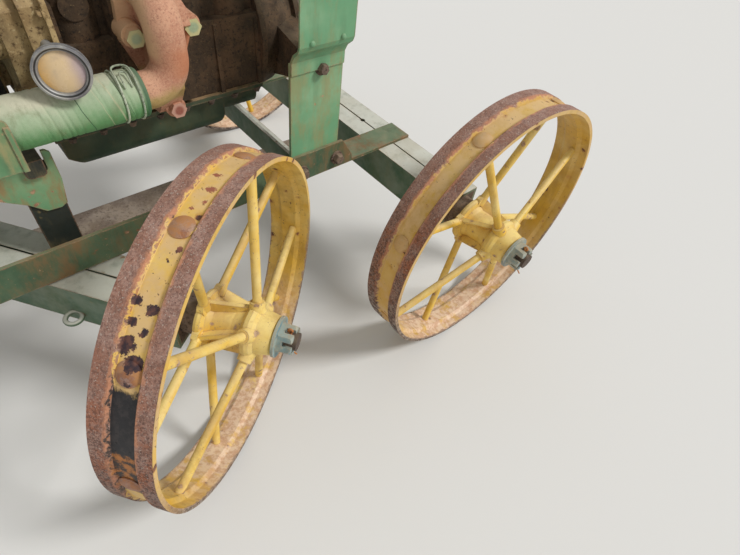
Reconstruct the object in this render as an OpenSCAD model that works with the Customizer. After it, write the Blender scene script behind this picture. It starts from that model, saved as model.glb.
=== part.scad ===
// Portable farm engine on a four-wheel steel truck.
// The front axle swivels under the frame on a king pin and is drawn turned, as the machine stands.
// Origin: on the ground under the middle of its overall length. +X runs to the fixed rear axle,
// -Y is the water-hose side and +Z is up. Lengths along X are given from the king pin.

/* [Wheels] */
// Rolling radius of the steel wheels
wheel_r = 356; // [330:1:380]
// Width of the rims
rim_w = 102; // [90:1:120]
// Width of each raised band at the rim's edges
band_w = 28; // [20:1:34]
// Depth of the sunk middle of the rim
groove_d = 7; // [4:1:10]
// Thickness of the rolled rim
rim_t = 9; // [6:1:12]
// Number of spokes in each front wheel
front_spokes = 10; // [8:2:14]
// Number of spokes in each rear wheel
rear_spokes = 8; // [8:2:14]
// Diameter of the spokes
spoke_d = 19; // [14:1:24]
// Diameter of the button rivet heads on the rim
rim_rivet_d = 40; // [30:1:46]

/* [Axles] */
// Distance between the front and rear axle lines
wheelbase = 1045; // [1000:1:1150]
// Half of the track, from the middle to a wheel's centre
half_track = 634; // [610:1:700]
// Angle at which the front axle stands turned
steer_rest = 35; // [0:1:35]
// Width of the axle beams
beam_w = 118; // [100:1:130]
// Height of the axle beams
beam_h = 102; // [90:1:110]
// Wall of the channels that make the beams
beam_t = 8; // [6:1:10]
// Slit between the two channels of a beam
beam_slit = 4; // [2:1:8]
// Diameter of the wheel spindles
spindle_d = 38; // [32:1:44]
// Height of the nuts on the spindles
nut_h = 32; // [26:1:36]
// Diameter of the king pin
king_d = 32; // [25:1:40]
// Gap between the front axle beam and what it turns under
turn_gap = 5; // [5:1:10]
// Width of the reach bar between the axles
reach_w = 80; // [60:1:100]
// Thickness of the reach bar
reach_t = 10; // [6:1:12]

/* [Frame] */
// Width of the frame over the two rails
frame_w = 540; // [520:1:560]
// Leg of the angle-iron rails
rail_leg = 76; // [65:1:85]
// Thickness of the angle-iron rails
rail_t = 8; // [6:1:10]
// Length of the rails ahead of the king pin
rail_front = 170; // [120:1:220]
// Width of the upright plates at the rear
plate_w = 143; // [120:1:160]
// Thickness of the plates and brackets
plate_t = 8; // [5:1:10]
// How far the upper rear panels stand outside the lower plates
panel_bulge = 33; // [20:1:45]

// Height of the notch's floor in which the front mounting bar lies
bar_z = 604; // [596:1:612]
// Width of the front mounting bar
bar_w = 34; // [28:1:36]
// Top of the upper rear panels
panel_top = 1000; // [980:1:1040]

/* [Engine] */
// Distance from the king pin to the front of the cylinder block
block_x = 300; // [295:1:320]
// Length of the cylinder block
block_len = 390; // [360:1:420]
// Width of the cylinder block
block_w = 290; // [260:1:300]
// Height of the crankshaft above the ground
crank_z = 690; // [680:1:700]
// Height of the joint between block and oil pan
pan_joint_z = 628; // [620:1:640]
// Depth of the oil pan below that joint
pan_depth = 96; // [80:1:110]
// Height of the block's top face
deck_z = 950; // [930:1:970]
// Height of the cylinder head
head_h = 60; // [50:1:70]
// Diameter of the fan
fan_d = 360; // [320:1:380]
// Radius of the crank pulley
crank_pulley_r = 44; // [38:1:44]
// Diameter of the output shaft
shaft_d = 38; // [30:1:42]
// Length of the output shaft outside the clutch housing
shaft_len = 90; // [70:1:120]
// Outside diameter of the lower water hose
hose_d = 84; // [76:1:90]
// Diameter of the cast water elbow's pipe
elbow_d = 66; // [58:1:68]
// Bend radius of the water elbow
elbow_bend = 50; // [45:1:56]

/* [Lamp] */
// Diameter of the lamp's outer rim
lamp_d = 80; // [70:1:100]
// Direction that the lamp faces, from +X towards +Y
lamp_turn = -108; // [-130:1:-90]
// Angle that the lamp looks upwards
lamp_tilt = 8; // [0:1:20]

/* [Radiator] */
// Width of the radiator
radiator_w = 586; // [570:1:600]
// Height of the radiator core
core_h = 380; // [340:1:420]
// Thickness of the radiator core
core_t = 70; // [50:1:80]
// Height of the radiator's bottom and top tanks
tank_h = 80; // [70:1:90]
// Outside diameter of the upper water hose
upper_hose_d = 58; // [50:1:64]

/* [Fuel tank and exhaust] */
// Diameter of the fuel tank
fuel_d = 210; // [180:1:240]
// Length of the fuel tank
fuel_len = 460; // [400:1:500]
// Diameter of the exhaust pipe
exhaust_d = 44; // [38:1:50]
// Diameter of the silencer
silencer_d = 96; // [80:1:110]
// Length of the silencer
silencer_len = 180; // [140:1:220]

/* [Hidden] */
$fn = 64;
running_gap = 0.05;
seat_gap = 0.2;
axle_z = wheel_r;
front_reach = (half_track + rim_w / 2) * sin(steer_rest) + wheel_r * cos(steer_rest);
king_x = (front_reach - wheelbase - wheel_r) / 2;
hub_in = 55;
hub_out = 103;
spindle_tip = 46;
washer_t = 6;
beam_end = half_track - 89;

// Frame
rail_z = 407;
frame_y = frame_w / 2;
rear_beam_z = rail_z - beam_h;
front_beam_z = rail_z - turn_gap - beam_h;
reach_z = front_beam_z - turn_gap - reach_t;
turntable_r = 65;
foot_y = frame_y - rail_leg;
bracket_t = 6;
bracket_y = foot_y + bracket_t;
bar_x = 168.3;
bar_end = bar_x + bar_w;
bar_top = bar_z + seat_gap + bar_w;

// Engine
block_end = block_x + block_len;
block_y = block_w / 2;
bay = block_len / 4;
jacket_in = 22;
jacket_y = block_y - 8;
jacket_z = pan_joint_z + 150;
head_top = deck_z + head_h;
port_y = jacket_y + 4;
port_z = deck_z - 50;
run_y = block_y + 40;
flange_t = 8;
case_x = block_x - 38;
cover_x = case_x - 34;
pump_x = cover_x - 22;
belt_x = cover_x - 23;
belt_w = 14;
belt_t = 6;
fan_pulley_r = 34;
fan_z = deck_z - 50;
bell_end = block_end + 120;

// Rear plates
plate_x = block_end + 4;
plate_y = frame_y - rail_t - plate_t;
joggle_z = 722;

// Water
radiator_z = 770;
radiator_x = -35;
radiator_t = core_t + 30;
radiator_top = radiator_z + core_h;
upper_hose_z = radiator_top + tank_h / 2;
neck_x = radiator_x + radiator_t;
wing_t = 4;
hose_y = 48 - radiator_w / 2;
hose_z = 728;
hose_room = 8;
lamp_out = 40;
elbow_r = elbow_d / 2;
elbow_x = 315;
elbow_seat_y = block_y + 20;
outlet_x = block_x + 28;

// Box between two opposite corners
module box(low, high) {
    translate(low) cube(high - low);
}

// Round bar along X from x0 to x1
module along_x(x0, x1, y, z, r) {
    translate([x0, y, z]) rotate([0, 90, 0]) cylinder(r = r, h = x1 - x0);
}

// Round bar along Y from y0 to y1
module along_y(y0, y1, x, z, r) {
    translate([x, y0, z]) rotate([-90, 0, 0]) cylinder(r = r, h = y1 - y0);
}

// Plate of an outline in Y and Z, from x0 to x1
module across(x0, x1, points) {
    translate([x0, 0, 0]) rotate([90, 0, 90]) linear_extrude(x1 - x0) polygon(points);
}

// Points of an arc from angle a0 to a1
function arc(r, a0, a1, n) = [for (i = [0 : n]) let (a = a0 + (a1 - a0) * i / n) r * [cos(a), sin(a)]];

// Rolled rim: two raised bands with a sunk middle, as r and z points of its section
module rim(spokes, first_angle) {
    r = wheel_r;
    h = rim_w / 2;
    step = 5;
    skirt = 2.5;
    section = [
        [r - rim_t, -h], [r, -h], [r, band_w - h], [r - groove_d, band_w - h + step],
        [r - groove_d, h - band_w - step], [r, h - band_w], [r, h], [r - rim_t, h],
        [r - rim_t, h - band_w + step], [r - rim_t - groove_d, h - band_w - step],
        [r - rim_t - groove_d, band_w + step - h], [r - rim_t, band_w - h - step]
    ];
    color("goldenrod") {
        rotate_extrude($fn = 128) polygon(section);
        for (k = [0 : spokes - 1])
            rotate([0, 0, first_angle + k * 360 / spokes])
                translate([r - groove_d - 1, 0, 0]) rotate([0, 90, 0]) {
                    cylinder(d = rim_rivet_d, h = skirt);
                    translate([0, 0, skirt]) dome(rim_rivet_d / 2, groove_d + 0.5 - skirt);
                }
    }
}

// Low dome of radius r that stands h above its base
module dome(r, h) {
    ball = (r * r + h * h) / (2 * h);
    rotate_extrude($fn = 96) intersection() {
        translate([0, h - ball]) circle(ball, $fn = 360);
        square([r + 1, h + 1]);
    }
}

// Hub casting with its spokes: even ones start in sockets on the outer cone, odd ones in the lugs
// of the inner flange, and a slanted web joins each lug to the next outer socket
module hub(spokes, first_angle) {
    rim_in = wheel_r - groove_d - rim_t;
    pitch = 360 / spokes;
    web_r = 54;
    web_lean = atan2(2 * web_r * sin(pitch / 2), outer_socket[0] - inner_socket[0]);
    section = [
        [0, -hub_in], [44, -hub_in], [60, -52], [62, -46], [60, -39], [46, -35], [40, -24],
        [38, 16], [44, 36], [56, 45], [58, 54], [55, 62], [48, 69], [45, 84], [42, hub_out - 4],
        [38, hub_out], [0, hub_out]
    ];
    lug = [[30, -19], [63, -18], [71, -10], [71, 10], [63, 18], [30, 19]];
    web = [[30, -46], [64, -46], [64, -37], [51, 50], [30, 50]];
    color("khaki") difference() {
        union() {
            rotate_extrude() polygon(section);
            for (k = [0 : spokes / 2 - 1]) {
                rotate([0, 0, first_angle + (2 * k + 1) * pitch])
                    translate([0, 0, -50]) linear_extrude(14) polygon(lug);
                rotate([0, 0, first_angle + (2 * k + 0.5) * pitch]) rotate([90 + web_lean, 0, 0])
                    linear_extrude(10, center = true) polygon(web);
            }
            for (k = [0 : spokes - 1])
                rotate([0, 0, first_angle + k * pitch]) along_spoke(spoke_socket(k))
                    cylinder(r1 = spoke_socket(k)[2], r2 = spoke_socket(k)[2] - 3, h = 24);
            intersection() {
                for (k = [0 : spokes - 1])
                    rotate([0, 0, first_angle + k * pitch]) along_spoke(spoke_socket(k))
                        cylinder(d = spoke_d, h = wheel_r, $fn = 24);
                cylinder(r = rim_in - seat_gap, h = 2 * hub_out, center = true, $fn = 128);
            }
        }
        cylinder(d = spindle_d + 2 * running_gap, h = 3 * hub_out, center = true);
    }
}

// Sockets as [height on the hub, start radius, socket radius]
outer_socket = [56, 44, 18];
inner_socket = [-43, 49, 13];

function spoke_socket(k) = k % 2 == 0 ? outer_socket : inner_socket;

// Along a spoke, from its socket on the hub to the rim's middle
module along_spoke(socket) {
    lean = atan2(socket[0] * 0.86, wheel_r - socket[1]);
    translate([socket[1], 0, socket[0]]) rotate([0, 90 + lean, 0]) children();
}

// Places a wheel: side is -1 near and 1 far, the axis points outwards
module at_wheel(side) {
    rotate([0, 0, side < 0 ? 0 : 180])
        translate([0, -half_track, axle_z]) rotate([90, 0, 0]) children();
}

// The turned front axle
module at_front() {
    translate([king_x, 0, 0]) rotate([0, 0, steer_rest]) children();
}

module at_rear() {
    translate([king_x + wheelbase, 0, 0]) children();
}

// What is measured from the king pin
module on_truck() {
    translate([king_x, 0, 0]) children();
}

// Two channels toe to toe with a slit between them, lying along Y with the lower face at z
module box_beam(z) {
    for (s = [-1, 1]) difference() {
        translate([s > 0 ? beam_slit / 2 : -beam_w / 2, -beam_end, z])
            cube([(beam_w - beam_slit) / 2, 2 * beam_end, beam_h]);
        translate([s > 0 ? 0 : beam_t - beam_w / 2, -beam_end - 1, z + beam_t])
            cube([beam_w / 2 - beam_t, 2 * beam_end + 2, beam_h - 2 * beam_t]);
    }
}

// Spindle with its square root inside the beam and a collar
module spindle(beam_z) {
    root = 100;
    collar_r = 44;
    end_gap = 1;
    reach = half_track + hub_out + spindle_tip;
    rotate([90, 0, 0]) translate([0, axle_z, 0]) {
        translate([beam_t - beam_w / 2, beam_z + beam_t - axle_z, beam_end - root])
            cube([beam_w - 2 * beam_t, beam_h - 2 * beam_t, root]);
        translate([0, 0, beam_end]) cylinder(r = collar_r, h = half_track - hub_in - beam_end - end_gap);
        translate([0, 0, beam_end - 1]) cylinder(d = spindle_d, h = reach - beam_end + 1);
    }
}

// Washer and chamfered castle nut on a spindle's end
module axle_nut() {
    corner_r = 34;
    washer_r = 44;
    slot_w = 12;
    slot_h = 20;
    translate([0, axle_z, half_track + hub_out + 1]) difference() {
        union() {
            cylinder(r = washer_r, h = washer_t);
            translate([0, 0, washer_t]) intersection() {
                translate([0, 0, -1]) cylinder(r = corner_r, h = nut_h + 2, $fn = 6);
                rotate_extrude() polygon([
                    [0, -0.5], [corner_r - 2, -0.5], [corner_r + 1, 3], [corner_r + 1, nut_h - 5],
                    [corner_r - 4, nut_h], [0, nut_h]
                ]);
            }
        }
        translate([0, 0, -1]) cylinder(d = spindle_d + 2 * seat_gap, h = washer_t + nut_h + 2);
        for (k = [0 : 2])
            rotate([0, 0, 30 + k * 60]) translate([-washer_r, -slot_w / 2, washer_t + nut_h - slot_h])
                cube([2 * washer_r, slot_w, slot_h + 1]);
    }
}

// Angle-iron rail: the upright leg ends in a slant over the rear beam's front, the flat leg runs on
module rail(side) {
    length = rail_front + wheelbase + beam_w / 2;
    upright_len = rail_front + wheelbase - 195;
    on_truck() color("seagreen") mirror([0, side > 0 ? 1 : 0, 0]) {
        translate([-rail_front, -frame_y, rail_z]) cube([length, rail_leg, rail_t]);
        translate([-rail_front, rail_t - frame_y, rail_z]) rotate([90, 0, 0])
            linear_extrude(rail_t)
                polygon([[0, 0], [upright_len + 38, 0], [upright_len + 34, 24],
                         [upright_len, rail_leg], [0, rail_leg]]);
    }
}

module rail_near() {
    rail(-1);
}

module rail_far() {
    rail(1);
}

// Channel over the king pin, with the fixed half of the turntable below it
module bolster() {
    half_y = frame_y - rail_t;
    half_x = 50;
    floor_z = rail_z + rail_t;
    on_truck() color("darkgreen") difference() {
        union() {
            box([-half_x, -half_y, floor_z], [half_x, half_y, floor_z + rail_t]);
            for (x = [-half_x, half_x - rail_t])
                box([x, -half_y, floor_z], [x + rail_t, half_y, floor_z + 50]);
            translate([0, 0, rail_z]) cylinder(r = turntable_r, h = rail_t + 1);
        }
        translate([0, 0, rail_z - 1]) cylinder(d = king_d + 2 * running_gap, h = 3 * rail_t);
    }
}

module king_pin() {
    top = rail_z + 2 * rail_t;
    thread = 24;
    on_truck() color("dimgray") {
        translate([0, 0, reach_z - thread]) cylinder(d = king_d, h = top - reach_z + thread);
        translate([0, 0, top]) cylinder(r = king_d * 0.875, h = king_d / 2, $fn = 6);
    }
}

// Reach bar under the beams, with packing under the rear beam and the king pin's nut
module reach_bar() {
    nut = 22;
    on_truck() color("gray") difference() {
        union() {
            box([-60, -reach_w / 2, reach_z], [wheelbase + 40, reach_w / 2, reach_z + reach_t]);
            box([wheelbase - 45, -reach_w / 2, reach_z], [wheelbase + 45, reach_w / 2, rear_beam_z]);
            translate([0, 0, reach_z - nut]) cylinder(r = king_d * 0.875, h = nut, $fn = 6);
        }
        translate([0, 0, reach_z - 2 * nut])
            cylinder(d = king_d + 2 * running_gap, h = 2 * nut + reach_t + 1);
    }
}

// Angle between the rails that carries the upright plates
module rear_cross_bar() {
    half = frame_y - rail_t - plate_t;
    start = plate_x + 10;
    leg = 60;
    floor_z = rail_z + rail_t;
    on_truck() color("darkgreen") {
        box([start, -half, floor_z], [start + leg, half, floor_z + rail_t]);
        box([start, -half, floor_z], [start + rail_t, half, floor_z + leg]);
    }
}

// Rear beam with bolt holes in its slit, beside the rails
module rear_axle_beam() {
    color("seagreen") at_rear() difference() {
        box_beam(rear_beam_z);
        for (s = [-1, 1]) translate([0, s * 129, rear_beam_z - 1]) cylinder(d = 14, h = beam_h + 2);
    }
}

module rear_spindles() {
    color("dimgray") at_rear() for (a = [0, 180]) rotate([0, 0, a]) spindle(rear_beam_z);
}

module rear_axle_nuts() {
    color("slategray") at_rear() for (a = [0, 180]) rotate([0, 0, a]) rotate([90, 0, 0]) axle_nut();
}

// Front beam with the bored block that turns on the king pin, and an eye for the tongue's braces
module front_axle_beam() {
    inner_w = beam_w - 2 * beam_t;
    eye_r = 16;
    eye_wire = 5;
    color("seagreen") at_front() difference() {
        union() {
            box_beam(front_beam_z);
            translate([-inner_w / 2, -45, front_beam_z + beam_t]) cube([inner_w, 90, beam_h - 2 * beam_t]);
            for (s = [-1, 1]) translate([-beam_w / 2 - eye_r + 2, s * 320, front_beam_z + 26])
                rotate_extrude() translate([eye_r, 0]) circle(eye_wire, $fn = 24);
        }
        translate([0, 0, front_beam_z - 1]) cylinder(d = king_d + 2 * running_gap, h = beam_h + 2);
    }
}

module front_spindles() {
    color("dimgray") at_front() for (a = [0, 180]) rotate([0, 0, a]) spindle(front_beam_z);
}

module front_axle_nuts() {
    color("slategray") at_front() for (a = [0, 180]) rotate([0, 0, a]) rotate([90, 0, 0]) axle_nut();
}

// Rub plate between the turning beam and the bolster
module front_rub_plate() {
    on_truck() color("dimgray") translate([0, 0, rail_z - turn_gap]) difference() {
        cylinder(r = turntable_r, h = turn_gap - 0.3);
        translate([0, 0, -1]) cylinder(d = king_d + 2 * running_gap, h = turn_gap + 2);
    }
}

// Two-eared clevis for the pulling tongue, ahead of the front beam
module tongue_clevis() {
    ear = 12;
    pin_r = 13;
    pin_x = -60;
    half = 35;
    color("saddlebrown") at_front() translate([-beam_w / 2, 0, front_beam_z + beam_h / 2]) difference() {
        union() {
            box([-10, -60, -half], [0, 60, half]);
            for (z = [-half, half - ear]) {
                box([pin_x, -30, z], [-5, 30, z + ear]);
                translate([pin_x, 0, z]) cylinder(r = 30, h = ear);
            }
        }
        translate([pin_x, 0, -half - 1]) cylinder(r = pin_r, h = 2 * half + 2);
    }
}

module front_near_rim() {
    at_front() at_wheel(-1) rim(front_spokes, -5);
}

module front_near_hub() {
    at_front() at_wheel(-1) hub(front_spokes, -5);
}

module front_far_rim() {
    at_front() at_wheel(1) rim(front_spokes, 12);
}

module front_far_hub() {
    at_front() at_wheel(1) hub(front_spokes, 12);
}

module rear_near_rim() {
    at_rear() at_wheel(-1) rim(rear_spokes, 114);
}

module rear_near_hub() {
    at_rear() at_wheel(-1) hub(rear_spokes, 114);
}

module rear_far_rim() {
    at_rear() at_wheel(1) rim(rear_spokes, 80);
}

module rear_far_hub() {
    at_rear() at_wheel(1) hub(rear_spokes, 80);
}

// Both sides of the machine from one near-side shape
module both_sides() {
    children();
    mirror([0, 1, 0]) children();
}

// Angle-iron legs that stand on the rails and carry the front brackets
module front_legs() {
    leg_x = 150;
    leg_end = 212;
    leg_top = 592;
    floor_z = rail_z + rail_t;
    on_truck() color("darkslategray") both_sides() {
        box([leg_x, -bracket_y, floor_z], [leg_end, -foot_y, leg_top]);
        box([leg_end - bracket_t, -foot_y - 1, floor_z], [leg_end, 44 - foot_y, leg_top]);
    }
}

// Pressed brackets with a round-cornered notch in which the front mounting bar lies
module front_brackets() {
    top_z = hose_z - hose_d / 2 - hose_room;
    outline = [
        [20, top_z], [20, 600], [60, 597], [114, 572], [153, 545], [175, 522], [200, 520],
        [213, 527], [220.6, 581], [220, 638], [213, 645], [205, top_z]
    ];
    notch_x = bar_x - 0.3;
    notch_end = bar_end + 4;
    corner = 8;
    on_truck() color("seagreen") both_sides() translate([0, -bracket_y, 0]) {
        difference() {
            rotate([90, 0, 0]) linear_extrude(bracket_t) polygon(outline);
            box([notch_x, -bracket_t - 1, bar_z + corner], [notch_end, 1, 700]);
            box([notch_x + corner, -bracket_t - 1, bar_z], [notch_end - corner, 1, bar_z + 2 * corner]);
            for (x = [notch_x + corner, notch_end - corner])
                along_y(-bracket_t - 1, 1, x, bar_z + corner, corner);
            box([notch_end - 1, -bracket_t - 1, 645], [230, 1, 700]);
        }
        box([20, -bracket_t, top_z - bracket_t], [notch_x, 40, top_z]);
    }
}

// Bar under the engine's front, lying in the brackets' notches; its lower edges are rounded
module front_mount_bar() {
    half = foot_y + 24;
    round_r = 9;
    floor_z = bar_z + seat_gap;
    on_truck() color("darkslategray") {
        box([bar_x, -half, floor_z + round_r], [bar_end, half, bar_top]);
        box([bar_x + round_r, -half, floor_z], [bar_end - round_r, half, bar_top]);
        for (x = [bar_x + round_r, bar_end - round_r])
            along_y(-half, half, x, floor_z + round_r, round_r);
    }
}

// Lower rear plates, which carry the bell housing's feet
module rear_plates() {
    floor_z = rail_z + rail_t;
    on_truck() color("seagreen") both_sides()
        box([plate_x, -plate_y - plate_t, floor_z], [plate_x + plate_w, -plate_y, joggle_z - 7]);
}

// Upper panels: joggled out from the lower plates by a double bend
module rear_panels() {
    skin = 4;
    out = panel_bulge;
    low = joggle_z - 32;
    on_truck() color("seagreen") both_sides() translate([0, -plate_y - plate_t, 0])
        across(plate_x, plate_x + plate_w, [
            [-skin, low], [0, low], [0, joggle_z], [-8, joggle_z + 16], [-24, joggle_z + 30],
            [skin - out, joggle_z + 40], [skin - out, panel_top], [-out, panel_top],
            [-out, joggle_z + 38], [-28, joggle_z + 26], [-12, joggle_z + 12], [-skin, joggle_z - 4]
        ]);
}

module cowl_top() {
    half = plate_y + plate_t + panel_bulge;
    on_truck() color("seagreen") box([plate_x, -half, panel_top], [plate_x + plate_w, half, panel_top + 4]);
}

// Cylinder block: ribbed crankcase, rounded water jackets with core plugs, and the elbow's pad
module cylinder_block() {
    rib_t = 9;
    rib_out = 8;
    pad_x = 395;
    pad_end = 525;
    plug_r = 24;
    on_truck() color("saddlebrown") {
        box([block_x, -block_y, pan_joint_z], [block_end, block_y, jacket_z]);
        box([block_x, jacket_in - block_y, jacket_z], [block_end, block_y - jacket_in, deck_z]);
        box([block_x, -block_y - 30, jacket_z - 70], [block_x + flange_t, block_y + 30, jacket_z + 80]);
        for (k = [0 : 3], s = [-1, 1]) {
            translate([block_x + (k + 0.5) * bay, s * (jacket_y - bay / 2), jacket_z])
                cylinder(d = bay, h = deck_z - jacket_z);
            translate([block_x + (k + 0.5) * bay, s * jacket_y, jacket_z + 60]) rotate([s * -90, 0, 0])
                translate([0, 0, -8]) cylinder(r = plug_r, h = 10);
        }
        for (k = [1 : 4], s = [0, 1]) mirror([0, s, 0])
            translate([block_x + k * bay - (k == 4 ? rib_t : rib_t / 2), 0, 0])
                across(0, rib_t, [
                    [-block_y - rib_out, pan_joint_z], [1 - block_y, pan_joint_z],
                    [1 - block_y, jacket_z - 6], [-block_y - 2, jacket_z - 10]
                ]);
        for (k = [0 : 3])
            box([block_x + (k + 0.5) * bay - 24, jacket_y - 20, port_z - 22],
                [block_x + (k + 0.5) * bay + 24, port_y, port_z + 22]);
        box([pad_x, -elbow_seat_y, pan_joint_z + 12], [pad_end, 40 - block_y, deck_z - 10]);
    }
}

// Trough with round lower edges, from x0 to x1 and from z up to the pan's flange
module trough(x0, x1, z) {
    half = block_y - 15;
    round_r = 28;
    top = pan_joint_z - 4;
    box([x0, -half, z + round_r], [x1, half, top]);
    box([x0, round_r - half, z], [x1, half - round_r, top]);
    for (y = [round_r - half, half - round_r])
        along_x(x0, x1, y, z + round_r, round_r);
}

// Pressed oil pan: a deep front sump and a shallow rear, with slanted ends
module oil_pan() {
    flange_y = block_y + 10;
    front = block_x - 50;
    sump_end = block_end - 90;
    back = block_end - 4;
    deep = pan_joint_z - pan_depth;
    shallow = pan_joint_z - 64;
    on_truck() color("darkolivegreen") {
        box([block_x - 60, -flange_y, pan_joint_z - 10], [block_end, flange_y, pan_joint_z]);
        trough(sump_end - 10, back, shallow);
        intersection() {
            trough(front, sump_end, deep);
            translate([0, block_y, 0]) rotate([90, 0, 0]) linear_extrude(block_w) polygon([
                [front - 1, pan_joint_z], [front + 3, shallow], [front + 30, deep + 9],
                [front + 60, deep - 1], [sump_end - 36, deep - 1], [sump_end - 8, deep + 12],
                [sump_end + 1, shallow], [sump_end + 1, pan_joint_z]
            ]);
        }
        translate([front + 150, 0, deep - 14]) cylinder(r = 15, h = 16, $fn = 6);
    }
}

// Cylinder head with its plugs and the water outlet that turns forward to the upper hose
module cylinder_head() {
    half = block_y - jacket_in;
    outlet_r = upper_hose_d / 2 - 6;
    turn = 45;
    on_truck() color("saddlebrown") {
        box([block_x, -half, deck_z], [block_end, half, head_top - 8]);
        box([block_x + 6, 6 - half, deck_z], [block_end - 6, half - 6, head_top]);
        translate([outlet_x, 0, head_top - 1]) cylinder(r = outlet_r + 8, h = 13);
        translate([outlet_x, 0, head_top]) cylinder(r = outlet_r, h = upper_hose_z - turn - head_top);
        translate([outlet_x - turn, 0, upper_hose_z - turn]) rotate([90, 0, 0])
            rotate_extrude(angle = 90) translate([turn, 0]) circle(outlet_r);
        along_x(neck_x + 140, outlet_x - turn, 0, upper_hose_z, outlet_r);
    }
    on_truck() color("gray") for (k = [0 : 3])
        translate([block_x + (k + 0.5) * bay, 30 - half, head_top - 1]) {
            cylinder(r = 13, h = 16, $fn = 6);
            cylinder(r = 7, h = 52);
            translate([0, 0, 30]) cylinder(r1 = 9, r2 = 7, h = 6);
        }
}

// Round-topped valve cover with its filler cap
module valve_cover() {
    front = block_x + 66;
    end = block_end - 34;
    half = 60;
    wall_h = 30;
    on_truck() color("seagreen") {
        box([front - 6, -half + 16, head_top], [end + 6, half + 28, head_top + 6]);
        translate([0, 22, 0]) {
            box([front, -half, head_top], [end, half, head_top + wall_h]);
            intersection() {
                along_x(front, end, 0, head_top + wall_h, half);
                box([front, -half, head_top + wall_h - 1], [end, half, head_top + wall_h + 42]);
            }
            translate([end - 50, 0, head_top + wall_h + 30]) {
                cylinder(r = 16, h = 30);
                translate([0, 0, 26]) cylinder(r = 24, h = 14);
            }
        }
    }
}

// Timing gear case with its feet, front cover, water-pump boss and crank pulley
module gear_case() {
    on_truck() color("peru") {
        across(case_x, block_x, [
            [-175, 860], [-175, 780], [-150, 700], [-150, pan_joint_z], [150, pan_joint_z],
            [150, 700], [175, 780], [175, 860], [120, 945], [-120, 945]
        ]);
        across(block_x - flange_t, block_x, [
            [-187, 866], [-187, 776], [-160, 698], [-160, 640], [160, 640],
            [160, 698], [187, 776], [187, 866], [126, 956], [-126, 956]
        ]);
        across(cover_x, case_x + 1, [
            [-162, 852], [-162, 790], [-138, 706], [-138, 652], [138, 652],
            [138, 706], [120, 790], [120, 852], [90, 926], [-90, 926]
        ]);
        along_x(pump_x, cover_x + 1, -122, 806, 34);
        along_x(pump_x + 6, cover_x + 1, 88, 760, 26);
        for (s = [-1, 1]) box([bar_x, s * 95 - 25, bar_top], [cover_x + 1, s * 95 + 25, bar_top + 22]);
        along_x(belt_x - belt_w / 2, cover_x + 1, 0, crank_z, 22);
        for (x = [belt_x - belt_w / 2 - 4, belt_x + belt_w / 2])
            along_x(x, x + 4, 0, crank_z, crank_pulley_r + 4);
        along_x(belt_x - belt_w / 2 - 1, belt_x + belt_w / 2 + 1, 0, crank_z, crank_pulley_r - seat_gap);
        along_x(belt_x - 44, belt_x, 0, crank_z, 15);
    }
}

// Bell housing with flanges at both ends and tapered feet on the rear plates
module bell_housing() {
    feet_x = block_end + 50;
    on_truck() color("saddlebrown") {
        translate([block_end, 0, crank_z + 20]) rotate([0, 90, 0]) rotate_extrude() polygon([
            [0, 0], [165, 0], [165, 12], [156, 16], [148, 60], [128, 104], [138, 108], [138, 120], [0, 120]
        ]);
        across(feet_x, feet_x + 70, [
            [-plate_y, crank_z - 25], [-110, crank_z - 70], [110, crank_z - 70], [plate_y, crank_z - 25],
            [plate_y, crank_z + 25], [110, crank_z + 60], [-110, crank_z + 60], [-plate_y, crank_z + 25]
        ]);
    }
}

// Clutch housing, the output shaft and the clutch lever
module power_takeoff() {
    lever_x = bell_end + 66;
    knob_z = crank_z + 330;
    on_truck() color("dimgray") {
        translate([bell_end, 0, crank_z]) rotate([0, 90, 0]) rotate_extrude() polygon([
            [0, 0], [118, 0], [118, 10], [106, 14], [72, 84], [72, 90], [48, 94], [48, 130], [0, 130]
        ]);
        along_x(bell_end + 129, bell_end + 130 + shaft_len, 0, crank_z, shaft_d / 2);
        along_y(-30, 30, lever_x, crank_z + 84, 12);
        translate([lever_x, -4, crank_z + 84]) rotate([90, 0, 0]) linear_extrude(9)
            polygon([[-14, -8], [14, -8], [22, 230], [10, 230]]);
        translate([lever_x + 16, -8.5, crank_z + 310]) cylinder(r = 6, h = knob_z - crank_z - 310 + 4);
        translate([lever_x + 16, -8.5, knob_z + 14]) rotate_extrude()
            polygon([[0, -14], [9, -12], [14, -5], [14, 5], [9, 12], [0, 14]]);
    }
}

// Exhaust manifold with a flange at each port
module manifold() {
    log_r = 26;
    on_truck() color("sienna") {
        along_x(block_x + 25, block_end - 25, run_y, port_z, log_r);
        for (k = [0 : 3]) {
            x = block_x + (k + 0.5) * bay;
            along_y(port_y, run_y, x, port_z, 20);
            box([x - 32, port_y, port_z - 28], [x + 32, port_y + flange_t, port_z + 28]);
        }
    }
}

// Updraught carburettor with its bowl, air horn and oil-bath air cleaner
module carburettor() {
    mid = block_x + block_len / 2;
    throat_z = port_z - 100;
    cleaner_x = mid + 108;
    cleaner_y = run_y + 24;
    on_truck() color("slategray") {
        translate([mid, run_y, throat_z]) cylinder(r = 18, h = 100 - 26);
        translate([mid, run_y, throat_z + 56]) cylinder(r = 32, h = 10);
        translate([mid, run_y, throat_z - 14]) cylinder(r = 30, h = 36);
        translate([mid - 16, run_y, throat_z - 56]) cylinder(r = 27, h = 44);
        along_x(mid, cleaner_x, run_y, throat_z, 17);
        translate([cleaner_x, cleaner_y, throat_z - 60]) rotate_extrude() polygon([
            [0, 0], [38, 0], [44, 8], [44, 40], [48, 42], [48, 48], [44, 50], [44, 84], [34, 94], [0, 96]
        ]);
    }
}

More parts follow.
